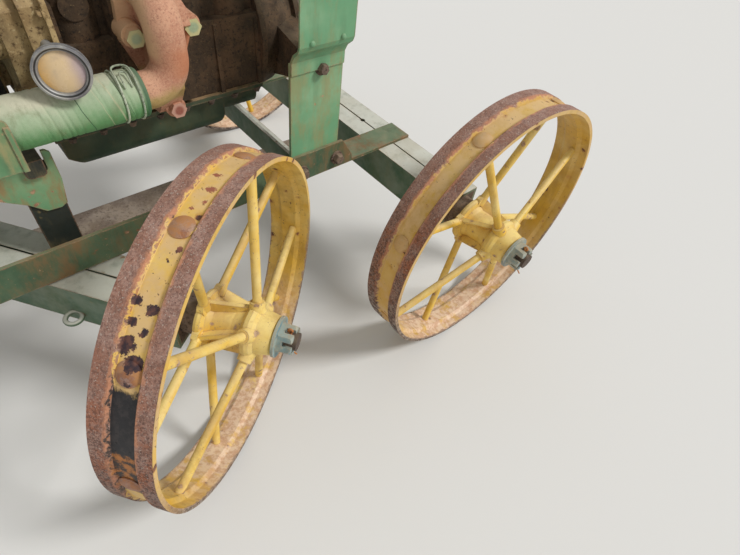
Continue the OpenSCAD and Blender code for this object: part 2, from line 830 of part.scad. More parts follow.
// Upright exhaust with a round-ended silencer
module exhaust_stack() {
    r = silencer_d / 2;
    base_z = port_z + 26;
    silencer_z = base_z + 94;
    pipe_r = exhaust_d / 2;
    end = silencer_len;
    on_truck() color("sienna") translate([block_x + block_len / 2 + 10, run_y, 0]) {
        translate([0, 0, base_z]) cylinder(r = pipe_r, h = end + 150);
        translate([0, 0, base_z]) cylinder(r = pipe_r + 14, h = 10);
        translate([0, 0, silencer_z]) rotate_extrude() polygon([
            [0, 0], [r - 22, 0], [r - 8, 5], [r, 14], [r, end - 14], [r - 8, end - 5], [r - 22, end], [0, end]
        ]);
    }
}

// Magneto: drive coupling, pole shoes, horseshoe magnet and distributor cap
module magneto() {
    body_x = block_x + 24;
    body_y = block_y + 6;
    body_z = 745;
    on_truck() color("dimgray") {
        along_x(block_x + flange_t, body_x, body_y + 24, 800, 22);
        box([body_x, body_y, body_z], [body_x + 80, body_y + 62, body_z + 62]);
        along_x(body_x, body_x + 60, body_y + 31, body_z + 62, 31);
        along_x(body_x + 60, body_x + 92, body_y + 31, body_z + 50, 26);
    }
}

// Cast water elbow: lugs as [x, z] of its three bolts
module water_elbow() {
    lugs = [[411, 804], [515, 805], [460, 656]];
    tip = 54;
    flange = 13;
    turn_x = 400;
    rise_x = turn_x + elbow_bend;
    top_z = 818;
    seat_z = top_z + elbow_bend;
    on_truck() color("indianred") {
        along_x(elbow_x, turn_x, hose_y, hose_z, elbow_r);
        translate([turn_x, hose_y, hose_z + elbow_bend]) rotate([90, 0, 0]) rotate([0, 0, -90])
            rotate_extrude(angle = 90) translate([elbow_bend, 0]) circle(elbow_r);
        translate([rise_x, hose_y, hose_z + elbow_bend]) cylinder(r = elbow_r, h = top_z - hose_z - elbow_bend);
        translate([rise_x, hose_y + elbow_bend, top_z]) rotate([90, 0, -90])
            rotate_extrude(angle = 90) translate([elbow_bend, 0]) circle(elbow_r);
        along_y(hose_y + elbow_bend, -elbow_seat_y, rise_x, seat_z, elbow_r);
        translate([0, -elbow_seat_y, 0]) rotate([90, 0, 0]) linear_extrude(flange)
            polygon([[396, 786], [440, 672], [480, 672], [532, 792], [500, 880], [404, 880]]);
        along_y(-elbow_seat_y - flange, -elbow_seat_y, rise_x, seat_z, elbow_r + 15);
        for (p = lugs) {
            along_y(-elbow_seat_y - 40, -elbow_seat_y, p[0], p[1], 20);
            translate([p[0], -elbow_seat_y, p[1]]) rotate([90, 0, 0]) cylinder(r = 16.5, h = tip, $fn = 6);
        }
        across(rise_x - 20, rise_x + 22, [
            [-elbow_seat_y, seat_z], [hose_y + 14, seat_z - 20], [hose_y, hose_z + 30],
            [hose_y + 8, hose_z - 20], [hose_y + 36, lugs[2][1] + 10], [hose_y + 50, lugs[2][1] - 8],
            [-elbow_seat_y, lugs[2][1] - 14]
        ]);
        across(lugs[1][0] - 40, lugs[1][0] - 6, [
            [-elbow_seat_y, 860], [hose_y + 30, 838], [hose_y + 22, 812],
            [-elbow_seat_y - 34, 792], [-elbow_seat_y, 788]
        ]);
    }
}

module lower_hose() {
    hose_x = neck_x + 10;
    overlap = 73;
    on_truck() color("mediumseagreen") difference() {
        along_x(hose_x, elbow_x + overlap, hose_y, hose_z, hose_d / 2);
        along_x(hose_x - 1, elbow_x + overlap + 1, hose_y, hose_z, elbow_r + seat_gap);
    }
}

// Wire clamps round the hose: one at the radiator, two at the elbow
module hose_clamps() {
    wire_r = 2.5;
    on_truck() color("silver") for (x = [neck_x + 23, elbow_x + 32, elbow_x + 60])
        translate([x, hose_y, hose_z]) rotate([0, 90, 0]) rotate_extrude()
            translate([hose_d / 2 + wire_r + seat_gap, 0]) circle(wire_r, $fn = 16);
}

// The lamp's middle; its own Z is the way it looks
module at_lamp() {
    translate([271, hose_y - lamp_out, 808]) rotate([0, 0, lamp_turn]) rotate([0, 90 - lamp_tilt, 0]) children();
}

// Lamp shell with a double rim and the arm back to the gear case
module lamp_shell() {
    r = lamp_d / 2;
    on_truck() color("gray") {
        at_lamp() rotate_extrude() polygon([
            [0, -40], [14, -39], [26, -32], [34, -18], [r - 4, -10], [r, -8], [r, -4], [r - 4, -3],
            [r - 4, -1], [r, 0], [r, 5], [r - 3, 6], [r - 8, 2], [r - 9, -2], [0, -2]
        ]);
        along_y(hose_y - 8, -175, 282, 803, 8);
    }
}

module lamp_lens() {
    on_truck() color("tan") at_lamp() translate([0, 0, seat_gap - 2]) dome(lamp_d / 2 - 9.4, 6);
}

module radiator_core() {
    side = radiator_w / 2 - 12;
    start = radiator_x + 15;
    on_truck() color("dimgray") box([start, -side, radiator_z], [start + core_t, side, radiator_top]);
}

// Flanged bottom and top tanks, side straps, wings beside the hose, filler neck and the hose necks
module radiator_tanks() {
    half = radiator_w / 2;
    end = radiator_x + radiator_t;
    lip = 6;
    wing_end = 174;
    wing_z = 676;
    wing_top = 768;
    corner = 14;
    bead = 8;
    on_truck() color("seagreen") {
        for (z = [radiator_z - tank_h, radiator_top])
            box([radiator_x, -half, z], [end, half, z + tank_h]);
        for (z = [radiator_z - flange_t, radiator_top])
            box([radiator_x - lip, -half - lip, z], [end + lip, half + lip, z + flange_t]);
        both_sides() {
            box([radiator_x, -half, radiator_z - 1], [end, 12 - half, radiator_top + 1]);
            translate([0, -half - wing_t, 0]) {
                box([radiator_x, 0, wing_z], [wing_end - corner, wing_t, wing_top]);
                box([radiator_x, 0, wing_z], [wing_end, wing_t, wing_top - corner]);
                along_y(0, wing_t, wing_end - corner, wing_top - corner, corner);
                box([wing_end - bead, -3, wing_z], [wing_end, 1, wing_top - corner]);
            }
        }
        translate([neck_x - 50, 0, radiator_top + tank_h - 1]) cylinder(r = 30, h = 18);
        translate([neck_x - 50, 0, radiator_top + tank_h + 17]) cylinder(r = 40, h = 16);
        along_x(end - 1, end + 49, hose_y, hose_z, elbow_r);
        along_x(end - 1, end + 59, 0, upper_hose_z, upper_hose_d / 2 - 6);
    }
}

// Upper water hose from the head's outlet to the top tank
module upper_hose() {
    on_truck() color("mediumseagreen") difference() {
        along_x(neck_x + 20, neck_x + 172, 0, upper_hose_z, upper_hose_d / 2);
        along_x(neck_x + 19, neck_x + 173, 0, upper_hose_z, upper_hose_d / 2 - 6 + seat_gap);
    }
}

// Fan of cupped blades with its spider, pulley and the shaft back to the timing cover
module fan() {
    blades = 6;
    fan_x = neck_x + 60;
    cup_r = 90;
    blade_t = 3;
    root_r = 34;
    on_truck() translate([0, 0, fan_z]) {
        color("seagreen") for (k = [0 : blades - 1])
            rotate([k * 360 / blades, 0, 0]) translate([fan_x, 0, root_r]) rotate([0, 0, 28])
                linear_extrude(fan_d / 2 - root_r) translate([-cup_r, 0])
                    polygon(concat(arc(cup_r, -20, 20, 6), arc(cup_r - blade_t, 20, -20, 6)));
        color("dimgray") {
            along_x(fan_x - 16, fan_x + 16, 0, 0, 42);
            along_x(fan_x - 24, fan_x, 0, 0, 24);
            along_x(fan_x, cover_x, 0, 0, 16);
            along_x(belt_x - belt_w / 2 - 1, belt_x + belt_w / 2 + 1, 0, 0, fan_pulley_r - seat_gap);
            for (x = [belt_x - belt_w / 2 - 4, belt_x + belt_w / 2])
                along_x(x, x + 4, 0, 0, fan_pulley_r + 4);
        }
    }
}

// Fan belt round both pulleys: the contact angle follows from their radii and distance
module fan_belt() {
    gap = fan_z - crank_z;
    lean = asin((crank_pulley_r - fan_pulley_r) / gap);
    on_truck() color("dimgray") translate([belt_x - belt_w / 2 + 0.5, 0, crank_z]) rotate([90, 0, 90])
        linear_extrude(belt_w - 1) difference() {
            polygon(belt_line(crank_pulley_r + belt_t, fan_pulley_r + belt_t, lean, gap));
            polygon(belt_line(crank_pulley_r, fan_pulley_r, lean, gap));
        }
}

// Outline of a belt round a lower circle of r1 and an upper circle of r2, gap above it
function belt_line(r1, r2, lean, gap) = concat(
    arc(r1, 180 - lean, 360 + lean, 24),
    [for (p = arc(r2, lean, 180 - lean, 24)) p + [0, gap]]
);

// Fuel tank with pressed ends, a filler cap, and straps on the cowl
module fuel_tank() {
    r = fuel_d / 2;
    head_room = 12;
    mid_x = block_end + r + head_room;
    mid_z = panel_top + r + 20;
    half = fuel_len / 2;
    strap_w = 30;
    on_truck() {
        color("seagreen") {
            translate([mid_x, -half, mid_z]) rotate([-90, 0, 0]) rotate_extrude() polygon([
                [0, 8], [r - 16, 8], [r - 8, 0], [r, 0], [r, fuel_len], [r - 8, fuel_len],
                [r - 16, fuel_len - 8], [0, fuel_len - 8]
            ]);
            translate([mid_x, -60, mid_z + r - 8]) cylinder(r = 24, h = 24);
            translate([mid_x, -60, mid_z + r + 10]) cylinder(r = 32, h = 16);
        }
        color("dimgray") for (y = [-half + 80, half - 80 - strap_w])
            difference() {
                union() {
                    box([mid_x - 66, y, panel_top + 4], [plate_x + plate_w, y + strap_w, panel_top + 40]);
                    along_y(y, y + strap_w, mid_x, mid_z, r + 4);
                }
                along_y(y - 1, y + strap_w + 1, mid_x, mid_z, r - 1);
            }
    }
}

rail_near();
rail_far();
bolster();
king_pin();
reach_bar();
rear_cross_bar();
rear_axle_beam();
rear_spindles();
rear_axle_nuts();
front_axle_beam();
front_spindles();
front_axle_nuts();
front_rub_plate();
tongue_clevis();
front_near_rim();
front_near_hub();
front_far_rim();
front_far_hub();
rear_near_rim();
rear_near_hub();
rear_far_rim();
rear_far_hub();
front_legs();
front_brackets();
front_mount_bar();
rear_plates();
rear_panels();
cowl_top();
cylinder_block();
oil_pan();
cylinder_head();
valve_cover();
gear_case();
bell_housing();
power_takeoff();
manifold();
carburettor();
exhaust_stack();
magneto();
water_elbow();
lower_hose();
hose_clamps();
lamp_shell();
lamp_lens();
radiator_core();
radiator_tanks();
upper_hose();
fan();
fan_belt();
fuel_tank();
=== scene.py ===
"""Finishes, fastenings and small fittings for a portable farm engine on a four-wheel steel truck."""

import math
import random

import bmesh
import bpy
from bpy.props import FloatProperty, FloatVectorProperty, IntProperty, PointerProperty
from mathutils import Matrix, Vector


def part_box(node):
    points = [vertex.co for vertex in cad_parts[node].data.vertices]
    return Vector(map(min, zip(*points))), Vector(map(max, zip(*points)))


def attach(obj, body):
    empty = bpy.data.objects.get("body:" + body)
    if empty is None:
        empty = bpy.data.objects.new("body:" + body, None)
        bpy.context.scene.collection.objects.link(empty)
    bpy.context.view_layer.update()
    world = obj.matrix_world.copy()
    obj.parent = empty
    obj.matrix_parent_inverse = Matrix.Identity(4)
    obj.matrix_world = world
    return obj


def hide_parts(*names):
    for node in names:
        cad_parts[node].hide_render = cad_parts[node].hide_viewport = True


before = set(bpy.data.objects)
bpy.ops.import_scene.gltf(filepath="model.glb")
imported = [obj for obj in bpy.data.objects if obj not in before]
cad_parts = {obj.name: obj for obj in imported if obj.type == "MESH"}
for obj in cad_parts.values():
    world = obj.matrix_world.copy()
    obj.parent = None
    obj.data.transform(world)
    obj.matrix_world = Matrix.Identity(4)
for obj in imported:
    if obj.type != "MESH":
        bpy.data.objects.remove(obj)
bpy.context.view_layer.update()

bl_info = {
    "name": "Farm engine truck",
    "version": (1, 0, 0),
    "blender": (4, 5, 0),
    "location": "3D View > Sidebar > Farm Engine",
    "description": "Finishes and fittings for a portable farm engine on a steel-wheeled truck",
    "category": "Object",
}

MM = 0.001
UP = (0, 0, 1)
DOWN = (0, 0, -1)
NEAR = (0, -1, 0)
AHEAD = (-1, 0, 0)
BACK = (1, 0, 0)


def middle(node):
    """Centre of a CAD node's box."""
    low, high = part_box(node)
    return (low + high) / 2


KING_X = middle("king_pin").x


def at(x, y, z):
    """A point given in millimetres from the king pin, in the row frame."""
    return Vector((KING_X + x * MM, y * MM, z * MM))


def ink(code):
    """Linear colour from a screen colour such as 'e2ba3e'."""
    parts = [int(code[i:i + 2], 16) / 255 for i in (0, 2, 4)]
    return tuple(p / 12.92 if p <= 0.04045 else ((p + 0.055) / 1.055) ** 2.4 for p in parts)


class Wheel:
    """Centre and axes of one wheel: its own Z points outwards and its own Y points up."""

    def __init__(self, pair, side):
        near, far = middle(pair + "_near_rim"), middle(pair + "_far_rim")
        self.name = pair + "_" + side
        self.centre = near if side == "near" else far
        out = (near - far).normalized() * (1 if side == "near" else -1)
        across = Vector(UP).cross(out)
        self.turn = Matrix((across, Vector(UP), out)).transposed()


WHEELS = [Wheel(pair, side) for pair in ("front", "rear") for side in ("near", "far")]
# Distance from a wheel's middle out to the cotter pin in its castle nut
PIN_SEAT = 132 * MM
# Height and radius of a cotter pin's eye, and heights in mm of the points along its straight legs
PIN_EYE_UP = 33 * MM
PIN_EYE_R = 4.5 * MM
PIN_LEGS = (29, 10, -12, -30)
RIM_R = (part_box("rear_near_rim")[1].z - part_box("rear_near_rim")[0].z) / 2


# Node writing
class Sheet:
    """Adds nodes to one tree. A socket is linked and a value is set; a colour may be its screen code."""

    def __init__(self, tree):
        self.tree = tree

    def put(self, kind, inputs=None, **settings):
        made = self.tree.nodes.new(kind)
        for key, value in settings.items():
            setattr(made, key, value)
        for key, value in (inputs or {}).items():
            self.feed(made.inputs[key], value)
        return made

    def feed(self, socket, value):
        if isinstance(value, bpy.types.NodeSocket):
            self.tree.links.new(value, socket)
        elif socket.type == "RGBA":
            socket.default_value = (*(ink(value) if isinstance(value, str) else value), 1.0)
        else:
            socket.default_value = value

    def math(self, operation, a, b=0.0, c=0.0):
        return self.put("ShaderNodeMath", {0: a, 1: b, 2: c}, operation=operation).outputs[0]

    def plus(self, a, b):
        return self.math("ADD", a, b)

    def minus(self, a, b):
        return self.math("SUBTRACT", a, b)

    def times(self, a, b):
        return self.math("MULTIPLY", a, b)

    def mix(self, share, a, b):
        return self.put("ShaderNodeMix", {0: share, 6: a, 7: b}, data_type="RGBA").outputs[2]

    def slide(self, share, a, b):
        return self.put("ShaderNodeMix", {0: share, 2: a, 3: b}, data_type="FLOAT").outputs[0]

    def step(self, value, low, high, first=0.0, last=1.0):
        """Smooth step from first at low to last at high."""
        limits = {"Value": value, "From Min": low, "From Max": high, "To Min": first, "To Max": last}
        return self.put("ShaderNodeMapRange", limits, interpolation_type="SMOOTHSTEP").outputs["Result"]

    def noise(self, place, scale, detail=4.0, roughness=0.55):
        values = {"Vector": place, "Scale": scale, "Detail": detail, "Roughness": roughness}
        return self.put("ShaderNodeTexNoise", values).outputs["Fac"]

    def cells(self, place, scale):
        return self.put("ShaderNodeTexVoronoi", {"Vector": place, "Scale": scale}).outputs

    def vector(self, operation, a, b=(0.0, 0.0, 0.0)):
        made = self.put("ShaderNodeVectorMath", {0: a, 1: b}, operation=operation)
        return made.outputs["Value"] if operation in ("LENGTH", "DOT_PRODUCT") else made.outputs["Vector"]

    def split(self, place):
        return self.put("ShaderNodeSeparateXYZ", {0: place}).outputs[:3]

    def place(self):
        return self.put("ShaderNodeTexCoord").outputs["Object"]

    def upward(self):
        """How far the surface looks up, in its body's own axes."""
        return self.split(self.put("ShaderNodeTexCoord").outputs["Normal"])[2]

    def use(self, group, place, **inputs):
        """Adds one of the shared node groups."""
        made = self.put("ShaderNodeGroup", {"Vector": place}, node_tree=GROUPS[group])
        for key, value in inputs.items():
            self.feed(made.inputs[titled(key)], value)
        return made.outputs


def titled(key):
    """Title of the socket that a keyword stands for."""
    return key.replace("_", " ").title()


WHITE = (1.0, 1.0, 1.0, 1.0)
GROUPS = {}


def shared(build):
    """Makes a node group of a function. Its keyword values are the inputs, and WHITE marks a colour."""
    tree = bpy.data.node_groups.new(titled(build.__name__), "ShaderNodeTree")
    takes = build.__kwdefaults__ or {}

    def add(title, colour, side):
        kind = "NodeSocketColor" if colour else "NodeSocketFloat"
        return tree.interface.new_socket(title, in_out=side, socket_type=kind)

    tree.interface.new_socket("Vector", in_out="INPUT", socket_type="NodeSocketVector")
    for key, default in takes.items():
        add(titled(key), default is WHITE, "INPUT").default_value = default
    given = tree.nodes.new("NodeGroupInput").outputs
    sheet = Sheet(tree)
    made = build(sheet, given["Vector"], **{key: given[titled(key)] for key in takes})
    for title in made:
        add(title, title == "Color", "OUTPUT")
    shown = tree.nodes.new("NodeGroupOutput").inputs
    for title, value in made.items():
        sheet.feed(shown[title], value)
    GROUPS[build.__name__] = tree
    return build


@shared
def edge_wear(s, place, *, width=0.003, amount=1):
    """Mask of worn sharp edges."""
    soft = s.put("ShaderNodeBevel", {"Radius": width}, samples=4).outputs[0]
    sharp = s.put("ShaderNodeNewGeometry").outputs["Normal"]
    bend = s.minus(1, s.vector("DOT_PRODUCT", soft, sharp))
    broken = s.noise(place, 55, 6, 0.7)
    worn = s.times(s.step(bend, 0.004, 0.12), s.step(broken, 0.32, 0.62))
    return {"Mask": s.times(worn, amount)}


@shared
def rust(s, place, *, scale=22, dark=WHITE, middle=WHITE, light=WHITE, speck=WHITE):
    large = s.noise(place, scale, 5, 0.6)
    fine = s.noise(place, s.times(scale, 9), 4, 0.7)
    colour = s.mix(s.step(large, 0.4, 0.62), middle, light)
    colour = s.mix(s.step(fine, 0.5, 0.68), colour, dark)
    pale = s.noise(place, s.times(scale, 17), 2, 0.5)
    colour = s.mix(s.step(pale, 0.62, 0.74, 0, 0.55), colour, speck)
    return {"Color": colour, "Height": s.plus(s.times(fine, 0.7), s.times(pale, 0.5))}


@shared
def paint_chips(s, place, *, scale=40, amount=0.3):
    """Torn spots, and a soft halo round them."""
    warp = s.put("ShaderNodeTexNoise", {"Vector": place, "Scale": s.times(scale, 1.6),
                                        "Detail": 3}).outputs["Color"]
    moved = s.vector("ADD", place, s.vector("MULTIPLY", warp, (0.016, 0.016, 0.016)))
    spots = s.cells(moved, scale)
    spread = s.times(s.noise(place, s.times(scale, 0.22), 2), amount)
    reach = s.minus(spread, s.times(s.split(spots["Color"])[0], 0.35))
    beyond = s.minus(spots["Distance"], reach)
    return {"Mask": s.step(beyond, -0.03, 0.03, 1, 0), "Halo": s.step(beyond, -0.02, 0.2, 1, 0)}


@shared
def faded_paint(s, place, *, scale=9, paint=WHITE, faded=WHITE, grime=WHITE, fade=0.5, top_fade=0.6):
    """Paint that fades in clouds and on top, with streaks of grime; the paler tops are partly sun fading and
    partly painted sunlight.
    """
    share = s.times(s.step(s.noise(place, scale, 5, 0.6), 0.35, 0.7), fade)
    # Painted sunlight over some sun fading: faces that look up take the pale tone
    up = s.step(s.upward(), 0.35, 0.95)
    colour = s.mix(s.math("MAXIMUM", share, s.times(up, top_fade)), paint, faded)
    streak = s.noise(s.vector("MULTIPLY", place, (1, 1, 0.18)), 26, 5, 0.65)
    return {"Color": s.mix(s.step(streak, 0.48, 0.72, 0, 0.4), colour, grime)}


@shared
def dust(s, place, *, scale=14, amount=0.5):
    """Dust on the faces that look up; on the oil pan it also serves as painted sunlight on the flange's top.
    """
    up = s.step(s.upward(), -0.15, 0.9)
    cloud = s.step(s.noise(place, scale, 6, 0.65), 0.36, 0.66)
    return {"Mask": s.times(s.times(up, cloud), amount)}


@shared
def cast_grain(s, place):
    lumps = s.noise(place, 28, 3, 0.5)
    sand = s.noise(place, 420, 2, 0.6)
    pits = s.step(s.cells(place, 190)["Distance"], 0, 0.35)
    return {"Height": s.plus(s.times(lumps, 1.2), s.plus(s.times(sand, 0.5), s.times(pits, 0.3)))}


def rust_tones(codes):
    """The four colours of the rust group."""
    return dict(zip(("dark", "middle", "light", "speck"), codes.split()))


GREEN_RUST = rust_tones("5b3f35 93674f b39474 c4b69c")
HUB_RUST = rust_tones("6b4a38 9d7a62 b59781 cdb79a")
PALE_WEAR = rust_tones("7d6a55 b3a58d ccc3ac d9d3c0")


def new_material(name):
    """Sheet of a new material, which knows the material and its shader node."""
    made = bpy.data.materials.new(name)
    made.use_nodes = True
    s = Sheet(made.node_tree)
    s.material, s.shader = made, made.node_tree.nodes["Principled BSDF"]
    return s


def dress(s, colour, rough, height, depth, metal=0):
    """Wires colour, roughness and bump into the shader, and gives the material."""
    bump = s.put("ShaderNodeBump", {"Strength": 0.8, "Distance": depth, "Height": height}).outputs[0]
    for title, value in {"Base Color": colour, "Roughness": rough, "Metallic": metal, "Normal": bump}.items():
        s.feed(s.shader.inputs[title], value)
    return s.material


def painted(name, tones, fade=0.5, top_fade=0.6, chips=0.26, edge=1, dust=0.3, dust_and_light_colour="b5a382",
            rust=GREEN_RUST, scale=9, stain="8f7d50", stained=0.5, run_scale=13):
    """Old brush paint over rusting steel; tones are the paint, its pale tone for fading and for the painted
    sunlight on top, and the grime.
    """
    s = new_material(name)
    place = s.place()
    paint, faded, grime = tones.split()
    paint = s.use("faded_paint", place, scale=scale, paint=paint, faded=faded, grime=grime, fade=fade,
                  top_fade=top_fade)["Color"]
    rusty = s.use("rust", place, scale=30, **rust)
    lost = s.use("paint_chips", place, scale=42, amount=chips)
    small = s.use("paint_chips", place, scale=135, amount=chips * 0.9)["Mask"]
    worn = s.use("edge_wear", place, width=0.0048, amount=edge)["Mask"]
    bare = s.math("MAXIMUM", s.math("MAXIMUM", lost["Mask"], s.times(small, 0.8)), worn)
    run = s.noise(s.vector("MULTIPLY", place, (1, 1, 0.3)), run_scale, 7, 0.72)
    film = s.times(s.step(run, 0.46, 0.66), stained)
    film = s.math("MAXIMUM", film, s.times(lost["Halo"], 0.55))
    colour = s.mix(bare, s.mix(film, paint, stain), rusty["Color"])
    lies = s.use("dust", place, amount=dust)["Mask"]
    colour = s.mix(lies, colour, dust_and_light_colour)
    rough = s.slide(bare, s.step(s.noise(place, 60), 0.3, 0.7, 0.5, 0.68), 0.88)
    brush = s.noise(s.vector("MULTIPLY", place, (1, 1, 0.3)), 160, 3)
    skin = s.times(s.minus(1, bare), 0.8)
    pitted = s.times(rusty["Height"], s.slide(bare, 0.1, 0.9))
    height = s.plus(s.plus(skin, pitted), s.times(brush, 0.12))
    return dress(s, colour, rough, height, 0.0007)


def cast(name, tones, scale=16, depth=0.0012, stain=None):
    """Rusty sand casting in four tones of rust."""
    s = new_material(name)
    place = s.place()
    rusty = s.use("rust", place, scale=scale, **rust_tones(tones))
    colour = rusty["Color"]
    if stain:
        run = s.noise(s.vector("MULTIPLY", place, (1, 1, 0.35)), 11, 4, 0.6)
        colour = s.mix(s.step(run, 0.5, 0.68, 0, 0.7), colour, stain)
    lies = s.use("dust", place, scale=18, amount=0.3)["Mask"]
    colour = s.mix(lies, colour, "a08c70")
    grain = s.use("cast_grain", place)["Height"]
    height = s.plus(s.times(rusty["Height"], 0.5), grain)
    rough = s.step(rusty["Height"], 0.2, 0.9, 0.72, 0.95)
    return dress(s, colour, rough, height, depth)


# Patches in a rim's groove: angle in the wheel's own axes, half width (both in degrees), two colours
WORN_PATCHES = {"front_near": [
    (170, 10.5, "33261f", "b3702c"), (152.5, 9.5, "1b191c", "2f2a2a"),
]}
# Large chips in a rim's groove: angle in degrees, offset outwards and radius in mm
LARGE_CHIPS = {"front_near": [
    (123.9, 10.6, 9), (128.9, 6, 5), (132.6, -12, 13), (136.6, 4.5, 13), (141.4, 1, 4),
    (89.4, 2, 7), (83.1, -4, 4), (108.5, 12, 5), (122.5, -15, 8), (127.4, -12, 7),
    (94, 9, 2), (97, -3, 2), (112, 3, 2),
]}
# Rim: radius of the groove's floor, radius that parts the outside from the inside, half the groove's
# width, and distance of the edge faces from the middle
GROOVE_R = RIM_R - 7 * MM
OUTSIDE_R = RIM_R - 8.5 * MM
HALF_GROOVE = 19.5 * MM
EDGE_FACE = 50 * MM
# Heights above the ground between which the bands turn from brown to grey
GREY_Z = (470 * MM, 200 * MM)
# Outward end of the patches, and height above the ground where the large chips turn lighter
PATCH_END = 42 * MM
CHIP_LIGHT_Z = 684 * MM
# Share of rust on the rivet heads
HEAD_RUST = {"front_near": 0.85}
# Paint, its pale tone for fading and for the painted sunlight on top, and share of lost paint
RIM_TONES = {
    "front_near": ("dfae2e", "efd585", 0.46),
    "front_far": ("d8a830", "e6c978", 0.44),
    "rear_near": ("cfa02c", "dcc07c", 0.42),
    "rear_far": ("d2a32f", "e0c378", 0.44),
}


class RimPlace:
    """Where a point lies on a rim: in the wheel's axes, out from the middle, above the ground."""

    def __init__(self, s, wheel):
        self.place = s.place()
        own = s.put("ShaderNodeMapping", {
            "Vector": self.place, "Location": wheel.centre, "Rotation": wheel.turn.to_euler(),
        }, vector_type="TEXTURE").outputs[0]
        self.x, self.y, self.z = s.split(own)
        self.level = s.split(self.place)[2]
        self.low = s.step(self.level, *GREY_Z)
        self.radius = s.vector("LENGTH", s.vector("MULTIPLY", own, (1, 1, 0)))
        self.outside = s.step(self.radius, OUTSIDE_R, OUTSIDE_R + 0.7 * MM)
        ragged = s.times(s.minus(s.noise(self.place, 48, 6, 0.7), 0.5), 0.022)
        self.side = s.plus(s.math("ABSOLUTE", self.z), ragged)


def groove_paint(s, rim, paint, faded, loss):
    """Paint that fades, with painted sunlight on top, a tan film and chips: its colour and the share of lost
    paint.
    """
    place = rim.place
    colour = s.use("faded_paint", place, scale=7, paint=paint, faded=faded, grime="9c7a35", fade=0.75,
                   top_fade=0.25)["Color"]
    film = s.step(s.noise(place, 17, 7, 0.72), 0.44, 0.6, 0.15, 0.85)
    film = s.times(film, s.slide(rim.outside, 0.4, 1))
    colour = s.mix(film, colour, s.mix(rim.outside, "a5772c", "d2ae78"))
    tan = s.times(s.step(rim.side, 0.0175, 0.0115), s.step(s.noise(place, 20, 6, 0.7), 0.36, 0.56))
    tan = s.times(tan, s.step(rim.level, 0.4, 0.52, 0.2, 0.75))
    colour = s.mix(s.times(tan, rim.outside), colour, "dcb983")
    blots = s.use("paint_chips", place, scale=34, amount=loss)
    specks = s.use("paint_chips", place, scale=120, amount=loss)["Mask"]
    colour = s.mix(s.times(blots["Halo"], 0.5), colour, "a8682f")
    gone = s.math("MAXIMUM", blots["Mask"], s.times(specks, 0.8))
    chipped = s.mix(s.step(s.noise(place, 70), 0.4, 0.6), "3f2b2a", "8b5a3c")
    return s.mix(gone, colour, chipped), gone


def band_rust(s, rim, colour):
    """Warm clouds, dark pits, pale grit and an orange lip over rust: its colour and the pits."""
    place = rim.place
    warm = s.step(s.noise(place, 22, 6, 0.7), 0.44, 0.62, 0, 0.75)
    colour = s.mix(s.times(warm, s.step(rim.level, 0.66, 0.45, 0.25, 1)), colour, "a5603b")
    pits = s.step(s.noise(place, 210, 3, 0.7), 0.5, 0.6)
    pits = s.times(pits, s.step(rim.level, 0.66, 0.3, 0.28, 0.9))
    colour = s.mix(pits, colour, "43302c")
    grit = s.step(s.noise(place, 340, 2, 0.5), 0.6, 0.68, 0, 0.6)
    colour = s.mix(grit, colour, "c4b3a6")
    mottle = s.step(s.noise(place, 95, 5, 0.75), 0.44, 0.58)
    colour = s.mix(s.times(rim.low, 0.8), colour, s.mix(mottle, "2d2a29", "a49a90"))
    lip = s.times(s.step(rim.side, HALF_GROOVE, HALF_GROOVE + 1.5 * MM),
                  s.step(rim.side, HALF_GROOVE + 9 * MM, HALF_GROOVE + 5 * MM))
    lip = s.times(s.times(lip, s.slide(rim.low, 0.8, 0)), s.step(s.noise(place, 30), 0.35, 0.55))
    return s.mix(lip, colour, "c78a67"), pits


def worn_patches(s, rim, rows, colour):
    """Patches with straight, slightly wavy ends across the groove."""
    for angle, width, first, last in rows:
        turn, half = math.radians(angle), math.radians(width)
        along = s.plus(s.times(rim.x, math.cos(turn)), s.times(rim.y, math.sin(turn)))
        wobble = s.times(s.minus(s.noise(rim.place, 42, 5, 0.7), 0.5), 0.1 * half * GROOVE_R)
        limit = GROOVE_R * math.cos(half)
        patch = s.step(s.plus(along, wobble), limit - 0.6 * MM, limit + 0.6 * MM)
        patch = s.times(s.times(patch, rim.outside), s.step(rim.z, PATCH_END + MM, PATCH_END))
        mottle = s.step(s.noise(rim.place, 80, 4, 0.65), 0.42, 0.62)
        colour = s.mix(patch, colour, s.mix(mottle, first, last))
    return colour


def large_chips(s, rim, wheel, rows, colour):
    """Torn dark chips at given places, lighter at the top of the wheel."""
    across, up, out = wheel.turn.col
    nearest = 1
    for angle, off, size in rows:
        turn = math.radians(angle)
        spoke = across * math.cos(turn) + up * math.sin(turn)
        spot = wheel.centre + spoke * GROOVE_R + out * off * MM
        gap = s.vector("LENGTH", s.vector("SUBTRACT", rim.place, spot))
        nearest = s.math("MINIMUM", nearest, s.minus(gap, size * MM))
    torn = s.times(s.minus(s.noise(rim.place, 62, 6, 0.75), 0.5), 0.034)
    chip = s.times(s.step(s.plus(nearest, torn), 0.7 * MM, -0.7 * MM), rim.outside)
    tone = s.mix(s.step(s.noise(rim.place, 90), 0.4, 0.65), "33242b", "6a4438")
    tone = s.mix(s.step(rim.level, CHIP_LIGHT_Z, CHIP_LIGHT_Z + 6 * MM, 0, 0.9), tone, "a4644a")
    return s.mix(chip, colour, tone)


